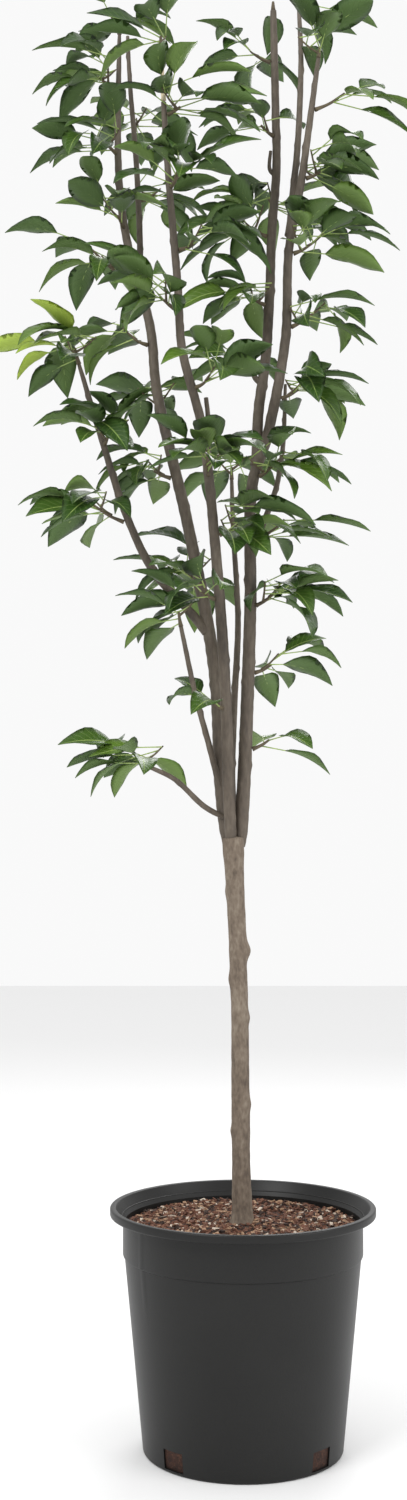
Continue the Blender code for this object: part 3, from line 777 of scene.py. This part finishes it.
trunk_path, trunk_radii = trunk_shape(0.0, TRUNK_FINE_SPACING)
trunk_side = frames_along(trunk_path)[1][0]
turned_by = math.atan2(trunk_side[1], trunk_side[0])
trunk_knots = [(knot.height - trunk_path[0, 2], math.radians(knot.angle) - turned_by,
                knot.proud * MM, knot.spread * MM) for knot in TRUNK_KNOTS]
trunk_bark = bark_tube(trunk_path, trunk_radii, TRUNK_FINE_SIDES, TRUNK_RELIEF, TRUNK_SEED, trunk_knots)
make_piece("trunk_wood", *trunk_bark, old_bark, "bark", ["trunk"])
print("trunk rings", len(trunk_path))

# %% [markdown]
# Every limb has small buds and leaf scars, one each 28 mm, that climb by the golden angle. The limbs
# of the fork narrow at the foot and sink into the trunk's top, and the others have a collar where
# they leave their mast. The front mast ends in a bare, bleached tip.

# %% Limbs
FINE_SPACING = 2.5
LIMB_FINE_SIDES = 28
BARE_SIDES = 20
BUD_SPACING = 0.028
BUD_PROUD = 0.0007
BUD_SHARE = 0.10
BUD_SPREAD = 0.0042
BUD_SIZE = (0.6, 0.4, 5)
FORK_HEIGHT = 850
FORK_COLLAR = -0.38
LIMB_COLLAR = 0.3
LIMB_RELIEF = 0.045
STUB_RELIEF = 0.05
BARE_RELIEF = 0.12
LIMB_SEED = 20
STUB_SEED = 60
BARE_SEED = 91
BARE_LIMB = "front_mast"
BARE_LENGTH = 0.075
BARE_TAPER = 0.7


def buds_along(length, butt):
    """A swelling at each step of length. Its size swings about a mean by a sine of its number."""
    mean, swing, pace = BUD_SIZE
    proud = BUD_PROUD + BUD_SHARE * butt
    return [(BUD_SPACING * k, k * GOLDEN_ANGLE, proud * (mean + swing * math.sin(pace * k)), BUD_SPREAD)
            for k in range(1, int(length / BUD_SPACING))]


def stub_wood(way, thick, seed):
    """The bark tube of a pruned stub."""
    path = curve_through(way / MM, FINE_SPACING) * MM
    radii = np.interp(np.linspace(0, 2, len(path)), (0, 1, 2), thick)
    return bark_tube(path, radii, BARE_SIDES, STUB_RELIEF, seed, collar=LIMB_COLLAR)


for number, limb in enumerate(LIMBS):
    path, radii = limb_shape(limb, 0.0, FINE_SPACING)
    buds = buds_along(lengths_along(path)[-1], radii[0])
    if limb.name == BARE_LIMB:
        live = path[:, 2] < path[-1, 2] - BARE_LENGTH
        bare_path = path[~live]
        bare_radii = radii[~live] * np.linspace(1.0, BARE_TAPER, len(bare_path))
        path, radii = path[live], radii[live]
    collar = FORK_COLLAR if limb.way[0][2] < FORK_HEIGHT else LIMB_COLLAR
    shapes = [bark_tube(path, radii, LIMB_FINE_SIDES, LIMB_RELIEF, LIMB_SEED + number, buds, collar)]
    shapes += [stub_wood(way, thick, STUB_SEED + number)
               for way, thick in stub_shapes(limb, limb_shape(limb, 0.0)[0], 0.0)]
    make_piece(limb.name + "_wood", *join(shapes), young_bark, "bark", [limb.name])
bare_tip = bark_tube(bare_path, bare_radii, BARE_SIDES, BARE_RELIEF, BARE_SEED)
make_piece("bleached_tip", *bare_tip, dead_wood, "bark")
print("made the wood of", [limb.name for limb in LIMBS])

# %% [markdown]
# Leaves grow by the same seeded rule as in the solids, and each mass springs from a spur. A spur is
# its height on the limb in millimetres, or the tip, its direction and rise in degrees, the length of
# its stem in millimetres, and the number of leaves that the solid has.

# %% Spurs
TIP = None
Spur = namedtuple("Spur", "limb height direction rise stem leaves")
SPUR_ROWS = {
    "west_mast": (
        (TIP, 0, 0, 14, 7), (1872, 186, 14, 26, 7), (1775, 232, 10, 20, 7), (1668, 250, 12, 20, 7),
        (1585, 178, 30, 76, 7), (1500, 205, 4, 22, 7), (1408, 95, 20, 32, 7),
        (1310, 188, 8, 24, 7), (1165, 112, 12, 34, 7),
    ),
    "west_rod": (
        (1838, 80, 12, 26, 7), (1722, 40, 10, 26, 7),
    ),
    "front_mast": (
        (TIP, 0, 0, 10, 6), (1768, 350, 16, 18, 7), (1672, 300, 12, 18, 7), (1590, 10, 10, 20, 7),
        (1510, 196, 24, 16, 8), (1408, 330, 12, 20, 7), (1292, 262, 16, 20, 8),
        (1215, 350, 14, 26, 7), (1130, 205, 12, 22, 7), (985, 230, 8, 18, 4),
    ),
    "east_mast": (
        (930, 352, 16, 24, 6), (1035, 12, 12, 24, 6), (1125, 338, 18, 26, 7),
        (1215, 30, 16, 26, 7), (1300, 318, 14, 22, 7), (1405, 350, 12, 24, 7),
        (1500, 8, 20, 28, 7), (1598, 348, 12, 26, 7), (1698, 6, 14, 20, 7), (1790, 12, 20, 44, 6),
        (TIP, 0, 0, 12, 5),
    ),
    "east_rod": (
        (TIP, 0, 0, 10, 5),
    ),
    "middle_mast": (
        (TIP, 0, 0, 10, 7), (1895, 186, 12, 24, 7), (1790, 218, 10, 22, 7), (1690, 84, 12, 28, 7),
        (1645, 190, 14, 24, 7), (1545, 205, 10, 24, 7), (1450, 176, 10, 24, 7),
    ),
    "low_west_rod": (
        (TIP, 0, 0, 16, 7),
    ),
    "far_west_bough": (
        (TIP, 0, 0, 18, 8), (1345, 290, 16, 20, 7), (1240, 186, 16, 44, 7),
    ),
    "low_west_bough": (
        (TIP, 0, 0, 20, 8),
    ),
    "rear_bough": (
        (TIP, 0, 0, 16, 8),
    ),
}
SPURS = [Spur(limb, *row) for limb, rows in SPUR_ROWS.items() for row in rows]
print("spurs", len(SPURS))

# %% [markdown]
# For the tests of the rule a leaf is a folded kite on a thin stalk. A mass's space is what lies
# nearer to its own centre than to any other, and within its reach.

# %% Growth rule: a leaf and its space
PETIOLE_RADIUS = 0.0009
BASE_SWELLING = 1.2
STALK_FLATNESS = 0.6
BLADE_WIDTH = 0.52
WIDEST = 0.42
BLADE_THICKNESS = 0.0016
FOLD = math.radians(20)
SPACE_MARGIN = 0.0004
SAME_PLACE = 1e-6
REACH = 0.125
LEAF_FACES = (
    (0, 1, 2), (0, 3, 4, 1), (1, 4, 5, 2), (2, 5, 3, 0),
    (3, 6, 7), (3, 7, 4), (4, 7, 8), (4, 8, 9, 5), (5, 9, 6, 3),
    (6, 10, 7), (7, 10, 8), (8, 10, 9), (9, 10, 6),
)


def leaf_shape(root, ahead, petiole, blade, arch, twist):
    """A leaf on its stalk: three corners at the root and at the blade's base, four where the blade is
    widest, and the tip. The blade is folded up along its midrib and arches downwards."""
    side = np.cross(ahead, (0.0, 0.0, 1.0))
    side /= np.linalg.norm(side)
    rise = np.cross(side, ahead)
    base = root + ahead * petiole
    side, rise = (side * math.cos(twist) + rise * math.sin(twist),
                  rise * math.cos(twist) - side * math.sin(twist))
    corners = []
    for place, size in ((root, PETIOLE_RADIUS), (base, BASE_SWELLING * PETIOLE_RADIUS)):
        high = rise * STALK_FLATNESS * size
        corners += [place - side * size + high, place + side * size + high, place - rise * size]
    bend = arch * WIDEST
    middle = base + blade * WIDEST * (ahead * math.cos(bend / 2) - rise * math.sin(bend / 2))
    lift = rise * math.cos(bend) + ahead * math.sin(bend)
    half = blade * BLADE_WIDTH / 2
    out, high = side * half * math.cos(FOLD), lift * half * math.sin(FOLD)
    thick = lift * BLADE_THICKNESS / 2
    corners += [middle - out + high, middle + thick, middle + out + high, middle - thick]
    corners.append(base + blade * (ahead * math.cos(arch / 2) - rise * math.sin(arch / 2)))
    return np.array(corners)


def in_space(points, own, centres):
    """Whether the points are nearer to their own centre than to any other, and within its reach."""
    if (np.linalg.norm(points - own, axis=1) > REACH).any():
        return False
    others = centres[np.linalg.norm(centres - own, axis=1) > SAME_PLACE]
    apart = others - own
    length = np.linalg.norm(apart, axis=1)
    beyond = (points @ apart.T - ((others + own) / 2 * apart).sum(axis=1)) / length
    return bool((beyond < -SPACE_MARGIN).all())


def bvh(points, faces):
    """A search tree for the overlap tests."""
    return BVHTree.FromPolygons([Vector(p) for p in points], faces)


# %% [markdown]
# A stem springs from the limb, and one or two twigs branch from it. Both bend upwards, and leaves may
# sit on them from the tip backwards, as far as their bare foot.

# %% Growth rule: shoots
STEM_RADIUS = 0.0019
STEM_TIP = 0.0013
STEM_BARE = 0.25
TWIG_BARE = 0.35
SHOOT_LIFT = 0.25
LEAF_SPACING = 0.0062
FIRST_LEAF = 0.3
SITES = 5


def shoot_path(start, ahead, length):
    """A shoot that sets off along its direction and bends upwards."""
    share = np.linspace(0.0, 1.0, 3)[:, None]
    rise = np.array([0.0, 0.0, 1.0])
    return start + ahead * length * share + rise * SHOOT_LIFT * length * share ** 2


def slanting(turn, rise):
    """The unit vector towards this turn in radians, climbing by this much for each step out."""
    out = np.array([math.cos(turn), math.sin(turn), rise])
    return out / np.linalg.norm(out)


def leaf_sites(shoots):
    """Where leaves sit: at each shoot's tip and then back along it, the shoots in turn."""
    sites = []
    for step in range(SITES):
        for way, bare in shoots:
            length = float(np.linalg.norm(way[2] - way[0]))
            share = 1 - (step + FIRST_LEAF) * LEAF_SPACING / length
            if share > bare:
                half = int(share > 0.5)
                sites.append(way[half] + (way[half + 1] - way[half]) * (2 * share - half))
    return sites


def spur_start(spur, wood):
    """Where the stem of a spur starts, just clear of its limb, and its direction."""
    limb = next(one for one in LIMBS if one.name == spur.limb)
    path, _ = limb_shape(limb, 0.0)
    if spur.height is TIP:
        ahead = frames_along(path)[0][-1]
        return path[-1] + ahead * GAP, ahead
    middle, along = place_on(path, spur.height * MM)
    ahead = heading(spur.direction, spur.rise)
    surface = wood[spur.limb].ray_cast(Vector(middle), Vector(ahead))[3]
    lean = abs(float(ahead.dot(along)))
    clear = (GAP + STEM_RADIUS * lean) / math.sqrt(1 - lean ** 2)
    return middle + ahead * (surface + clear), ahead


# %% [markdown]
# Each leaf is turned by the golden angle from the one before it. One that would leave the mass's own
# space, touch a limb or cut another blade is left out, and the next try takes its site. When the
# solid's number is reached, up to five more leaves follow by the same rule.

# %% Growth rule: one mass
SEED = 41
TWIG_RADIUS = 0.0012
TWIG_TIP = 0.0009
TWIG_LENGTH = (0.024, 0.036)
TWIG_PLACES = (0.4, 0.75)
TWIG_RISE = 0.55
FEW_LEAVES = 6
MORE_LEAVES = 5
TRIES = 250
TURN_SPREAD = 0.3
PETIOLE_RISE = (-0.35, 0.75)
PETIOLE = (0.022, 0.044)
BLADE = (0.060, 0.090)
ARCH = (0.35, 1.15)
TWIST = 0.35
CROWN_TOP = 1.982


def grow_shoots(spur, start, ahead, draw, turn, fits):
    """The stem and its twigs, each as a way, two radii and the bare share of its foot. The last
    turn comes with them."""
    stem = shoot_path(start, ahead, spur.stem * MM)
    shoots = [(stem, (STEM_RADIUS, STEM_TIP), STEM_BARE)]
    for place in TWIG_PLACES[:1 if spur.leaves <= FEW_LEAVES else 2]:
        turn += GOLDEN_ANGLE
        foot = stem[0] * (1 - place) + stem[2] * place
        way = shoot_path(foot, slanting(turn, TWIG_RISE), draw.uniform(*TWIG_LENGTH))
        twig = tube(way, np.linspace(TWIG_RADIUS, TWIG_TIP, 3), 3)
        if twig[0][:, 2].max() < CROWN_TOP and fits(*twig):
            shoots.append((way, (TWIG_RADIUS, TWIG_TIP), TWIG_BARE))
    return shoots, turn


def grow_mass(number, spur, start, ahead, centres, wood_near):
    """The shoots of one mass, and its leaves: root, direction, stalk, blade, arch and twist."""
    draw = np.random.RandomState(SEED + number)

    def fits(points, faces):
        """Whether a shape keeps to the mass's space and clear of the wood."""
        return in_space(points, centres[number], centres) and not bvh(points, faces).overlap(wood_near)

    shoots, turn = grow_shoots(spur, start, ahead, draw, draw.uniform(0, 2 * math.pi), fits)
    sites = leaf_sites([(way, bare) for way, _, bare in shoots])
    leaves, blades = [], []
    for _ in range(TRIES):
        if not sites or len(leaves) == spur.leaves + MORE_LEAVES:
            break
        turn += GOLDEN_ANGLE + draw.uniform(-TURN_SPREAD, TURN_SPREAD)
        out = slanting(turn, draw.uniform(*PETIOLE_RISE))
        measures = (draw.uniform(*PETIOLE), draw.uniform(*BLADE), draw.uniform(*ARCH),
                    draw.normal(0, TWIST))
        corners = leaf_shape(sites[0], out, *measures)
        if corners[:, 2].max() > CROWN_TOP or not fits(corners, LEAF_FACES):
            continue
        blade = bvh(corners, LEAF_FACES[4:])
        if not any(blade.overlap(other) for other in blades):
            blades.append(blade)
            leaves.append((sites.pop(0), out, *measures))
    return shoots, leaves


# %% [markdown]
# All the limbs, a little fattened, go into one search tree, and the rule runs once for each spur.
# The centre of a mass lies out along its stem.

# %% Grow the masses
LIMB_MARGIN = 0.0012
CENTRE_OUT = 0.030
CENTRE_SHARE = 0.6

near_shapes = [tube(*trunk_shape(LIMB_MARGIN), TRUNK_SIDES)]
for limb in LIMBS:
    path, radii = limb_shape(limb, LIMB_MARGIN)
    near_shapes.append(tube(path, radii, limb.sides))
    near_shapes += [tube(way, thick, STUB_SIDES) for way, thick in stub_shapes(limb, path, LIMB_MARGIN)]
wood_near = bvh(*join(near_shapes))
surfaces = {limb.name: bvh(*tube(*limb_shape(limb, 0.0), limb.sides)) for limb in LIMBS}
starts = [spur_start(spur, surfaces) for spur in SPURS]
centres = np.array([start + ahead * (CENTRE_OUT + CENTRE_SHARE * spur.stem * MM)
                    for spur, (start, ahead) in zip(SPURS, starts)])
all_shoots, all_leaves, leaf_mass = [], [], []
for number, (spur, (start, ahead)) in enumerate(zip(SPURS, starts)):
    shoots, leaves = grow_mass(number, spur, start, ahead, centres, wood_near)
    all_shoots += shoots
    all_leaves += leaves
    leaf_mass += [number] * len(leaves)
print("leaves", len(all_leaves), "shoots", len(all_shoots))

# %% [markdown]
# A pear leaf is egg-shaped with a drawn-out point, folded along its midrib, and it arches down. Its
# top and underside are one closed sheet: at each step u along the midrib a loop of eight points goes
# across the top and back underneath. The loop's half width goes as u^0.75 (1 - u)^1.05.

# %% Leaf meshes
LEAF_STEPS = 9
LOOP_ACROSS = np.array([-1.0, -0.5, 0.0, 0.5, 1.0, 0.5, 0.0, -0.5])
LOOP_UNDER = np.array([0.0, 0.0, 0.0, 0.0, 0.0, 1.0, 1.0, 1.0])
BLADE_SHEET = 0.0006
BASE_POWER = 0.75
TIP_POWER = 1.05
OUTLINE_PEAK = 0.2944
END_WIDTH = 0.015
LEAF_SEED = 12
FOLD_POWER = 1.15
RIPPLE = 0.10
RIPPLE_PITCH = 9.0


def leaf_axes(leaves):
    """Root, direction, side and upward vectors and measures of each leaf, as arrays."""
    root = np.array([leaf[0] for leaf in leaves])
    ahead = np.array([leaf[1] for leaf in leaves])
    petiole, blade, arch, twist = np.array([leaf[2:] for leaf in leaves]).T
    side = np.cross(ahead, (0.0, 0.0, 1.0))
    side /= np.linalg.norm(side, axis=1)[:, None]
    rise = np.cross(side, ahead)
    c, s = np.cos(twist)[:, None], np.sin(twist)[:, None]
    return root, ahead, side * c + rise * s, rise * c - side * s, petiole, blade, arch


def midrib(axes, share):
    """M(u) = base + u blade (ahead cos(u arch / 2) - rise sin(u arch / 2)), with the upward vector."""
    root, ahead, _, rise, petiole, blade, arch = axes
    bend = (arch[:, None] * share[None, :])[..., None]
    base = root + ahead * petiole[:, None]
    run = (blade[:, None] * share[None, :])[..., None]
    middle = base[:, None] + run * (ahead[:, None] * np.cos(bend / 2) - rise[:, None] * np.sin(bend / 2))
    return middle, rise[:, None] * np.cos(bend) + ahead[:, None] * np.sin(bend)


def leaf_mesh(leaves):
    """P(u, v) = M(u) + half(u) (v side cos fold + (|v|^1.15 sin fold + ripple v |v|) lift). The
    faces follow, and how far along, how far across and how far under the leaf each point is."""
    axes = leaf_axes(leaves)
    side, blade = axes[2], axes[5]
    share = np.linspace(0.0, 1.0, LEAF_STEPS)
    middle, lift = midrib(axes, share)
    outline = np.maximum(share ** BASE_POWER * (1 - share) ** TIP_POWER / OUTLINE_PEAK, END_WIDTH)
    half = (blade[:, None] * BLADE_WIDTH / 2 * outline[None, :])[..., None]
    phase = np.random.RandomState(LEAF_SEED).uniform(0, FULL_TURN, (len(leaves), 1))
    ripple = (RIPPLE * np.sin(RIPPLE_PITCH * share[None, :] + phase))[..., None]
    across = LOOP_ACROSS[None, None, :]
    fold = math.sin(FOLD) * np.abs(across) ** FOLD_POWER + ripple * np.abs(across) * across
    points = (middle[:, :, None]
              + side[:, None, None] * (across * half * math.cos(FOLD))[..., None]
              + lift[:, :, None] * (fold * half - BLADE_SHEET * LOOP_UNDER)[..., None])
    faces = many_tubes(LEAF_STEPS, len(LOOP_ACROSS), len(leaves))
    stored = {"along": np.repeat(share, len(LOOP_ACROSS)), "across": np.tile(LOOP_ACROSS, LEAF_STEPS),
              "under": np.tile(LOOP_UNDER, LEAF_STEPS)}
    return points, faces, {name: np.tile(values, len(leaves)) for name, values in stored.items()}


# %% [markdown]
# The leaves' finish is a node group with four colours. It reads what each point stores. Side veins
# are bands of constant u - |v|, a little paler and sunk, the midrib is pale, and the underside is
# paler and duller than the top.

# %% Leaf group
VEIN_PITCH = 52.0
VEIN_SLANT = 13.0
VEIN_EDGE = 0.72
VEIN_CONTRAST = 3.0
VEIN_SHARE = 0.22
VEIN_DEPTH = 0.0006
VEIN_STRENGTH = 0.6
RIB_HALF_WIDTH = 0.05
RIB_SHARE = 0.7
TOP_ROUGHNESS = 0.34
UNDER_ROUGHNESS = 0.62


leaf_group, given, result = new_group(
    "leaf_look", [(name, "Color") for name in ("Deep", "Top", "Vein", "Under")],
    [("Color", "Color"), ("Roughness", "Float"), ("Normal", "Vector")])


def maths(operation, *values):
    """The result of a maths node of the group on these sockets or numbers."""
    made = leaf_group.nodes.new("ShaderNodeMath")
    made.operation = operation
    for socket, value in zip(made.inputs, values):
        feed(leaf_group, socket, value)
    return made.outputs[0]


def mixed(factor, first, second):
    """Two colours mixed by a factor."""
    made = leaf_group.nodes.new("ShaderNodeMix")
    made.data_type = "RGBA"
    feed(leaf_group, made.inputs[0], factor)
    colours = [socket for socket in made.inputs if socket.type == "RGBA"]
    feed(leaf_group, colours[0], first)
    feed(leaf_group, colours[1], second)
    return next(socket for socket in made.outputs if socket.type == "RGBA")


def stored(name):
    """What the mesh's points store under this name."""
    made = leaf_group.nodes.new("ShaderNodeAttribute")
    made.attribute_name = name
    return made.outputs["Fac"]


across = maths("ABSOLUTE", stored("across"))
climb = maths("MULTIPLY", stored("along"), VEIN_PITCH)
slant = maths("SUBTRACT", climb, maths("MULTIPLY", across, VEIN_SLANT))
crest = maths("SUBTRACT", maths("SINE", slant), VEIN_EDGE)
veins = maths("SMOOTH_MAX", maths("MULTIPLY", crest, VEIN_CONTRAST), 0.0)
rib = maths("LESS_THAN", across, RIB_HALF_WIDTH)
under = stored("under")
place = node(leaf_group, "TexCoord").outputs["Object"]
tone = grain_mask(leaf_group, place, coarse=26.0, fine=300.0, share=0.25)
green = mixed(tone, given["Deep"], given["Top"])
green = mixed(maths("MULTIPLY", veins, VEIN_SHARE), green, given["Vein"])
green = mixed(maths("MULTIPLY", rib, RIB_SHARE), green, given["Vein"])
dull = node(leaf_group, "MapRange", Value=under, To_Min=TOP_ROUGHNESS, To_Max=UNDER_ROUGHNESS)
sunk = node(leaf_group, "Bump", Height=veins, Distance=VEIN_DEPTH, Strength=VEIN_STRENGTH)
sunk.invert = True
feed(leaf_group, result["Color"], mixed(under, green, given["Under"]))
feed(leaf_group, result["Roughness"], dull.outputs["Result"])
feed(leaf_group, result["Normal"], sunk.outputs["Normal"])
print("made the group", leaf_group.name)

# %% [markdown]
# Each leaf colour is a material with the group in it. The leaves are dealt at random into deep, mid
# and fresh green by their shares, and the four that hang farthest west on the far bough's tip are
# young and yellow.

# %% Leaves
LEAF_SHINE = 0.28
DEEPER = 0.62
LeafColour = namedtuple("LeafColour", "name top under vein share")
LEAF_COLOURS = (
    LeafColour("deep_leaves", (0.034, 0.080, 0.013), (0.085, 0.145, 0.045), (0.19, 0.29, 0.07), 0.46),
    LeafColour("green_leaves", (0.058, 0.122, 0.018), (0.110, 0.180, 0.055), (0.26, 0.37, 0.09), 0.36),
    LeafColour("fresh_leaves", (0.110, 0.205, 0.026), (0.150, 0.235, 0.065), (0.34, 0.47, 0.12), 0.18),
    LeafColour("young_leaves", (0.330, 0.470, 0.035), (0.360, 0.480, 0.080), (0.60, 0.66, 0.22), 0.0),
)
YOUNG_LIMB = "far_west_bough"
YOUNG_COUNT = 4
BLADE_OUT = 0.08
BLADE_UP = 0.05
DEAL_SEED = 5


def leaf_finish(colour):
    """The leaf group's four colours set, and its outputs on a Principled surface."""
    made, tree, shader = new_material(colour.name)
    look = tree.nodes.new("ShaderNodeGroup")
    look.node_tree = leaf_group
    deep = [DEEPER * value for value in colour.top]
    for socket, value in zip(look.inputs, (deep, colour.top, colour.vein, colour.under)):
        socket.default_value = (*value, 1)
    for socket, output in zip(("Base Color", "Roughness", "Normal"), look.outputs):
        feed(tree, shader.inputs[socket], output)
    shader.inputs["Specular IOR Level"].default_value = LEAF_SHINE
    return made


def west_first(number):
    """Sorts leaves by how far west their blades hang, and higher blades first."""
    root, ahead = all_leaves[number][:2]
    return root[0] + BLADE_OUT * ahead[0] - BLADE_UP * ahead[2]


shares = [colour.share for colour in LEAF_COLOURS if colour.share > 0]
kinds = np.random.RandomState(DEAL_SEED).choice(len(shares), len(all_leaves), p=shares)
young_mass = next(n for n, spur in enumerate(SPURS) if spur.limb == YOUNG_LIMB and spur.height is TIP)
young = sorted((n for n, mass in enumerate(leaf_mass) if mass == young_mass), key=west_first)
kinds[young[:YOUNG_COUNT]] = len(shares)
mass_nodes = [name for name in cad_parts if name.startswith("leaves_")]
for kind, colour in enumerate(LEAF_COLOURS):
    chosen = [leaf for leaf, one in zip(all_leaves, kinds) if one == kind]
    points, faces, values = leaf_mesh(chosen)
    made = make_piece(colour.name, points, faces, leaf_finish(colour), "leaves",
                      mass_nodes if kind == 0 else ())
    for name, value in values.items():
        attribute = made.data.attributes.new(name, "FLOAT", "POINT")
        attribute.data.foreach_set("value", value.astype(np.float32))
    print(colour.name, len(chosen))

# %% [markdown]
# Stalks and midribs are pale and slim. Each is one tapered tube that runs from the twig along the
# stalk and on down the fold of the blade, and all the leaves' tubes are worked out together.

# %% Stalks and midribs
STALK_SHARES = np.array([0.0, 0.5])
RIB_SHARES = np.array([0.0, 0.14, 0.3, 0.5, 0.7, 0.92])
RIB_RADII = np.array([1.05, 0.85, 0.80, 0.62, 0.52, 0.42, 0.32, 0.18]) * MM
RIB_SIDES = 5


def rib_rings(leaves):
    """P(i, a) = path_i + radius_i (side cos a + lift_i sin a), along the stalk and then the midrib."""
    axes = leaf_axes(leaves)
    root, ahead, side, rise, petiole = axes[:5]
    stalk = root[:, None] + ahead[:, None] * (petiole[:, None] * STALK_SHARES[None])[..., None]
    middle, lift = midrib(axes, RIB_SHARES)
    path = np.concatenate([stalk, middle], axis=1)
    lift = np.concatenate([np.repeat(rise[:, None], len(STALK_SHARES), axis=1), lift], axis=1)
    turn = np.arange(RIB_SIDES) * 2 * math.pi / RIB_SIDES
    return (path[:, :, None]
            + side[:, None, None] * (RIB_RADII[None, :, None] * np.cos(turn)[None, None])[..., None]
            + lift[:, :, None] * (RIB_RADII[None, :, None] * np.sin(turn)[None, None])[..., None])


rib_faces = many_tubes(len(RIB_RADII), RIB_SIDES, len(all_leaves), flip=True)
make_piece("leaf_stalks", rib_rings(all_leaves), rib_faces, stalk_green, "leaves")
print("stalks", len(all_leaves))

# %% [markdown]
# The short stems and twigs of the spurs are woody and rough. Each is a bark tube with a collar at
# its foot.

# %% Spur twigs
TWIG_SPACING = 4.0
TWIG_SIDES = 8
TWIG_FATTENING = 1.15
TWIG_RELIEF = 0.16
TWIG_COLLAR = 0.5
TWIG_SEED = 200

twig_shapes = []
for number, (way, thick, _) in enumerate(all_shoots):
    fine = curve_through(way / MM, TWIG_SPACING) * MM
    fat = np.interp(np.linspace(0, 1, len(fine)), (0, 1), thick) * TWIG_FATTENING
    seed = TWIG_SEED + number
    twig_shapes.append(bark_tube(fine, fat, TWIG_SIDES, TWIG_RELIEF, seed, collar=TWIG_COLLAR))
make_piece("spur_twigs", *join(twig_shapes), spur_bark, "bark")
print("twigs", len(twig_shapes))
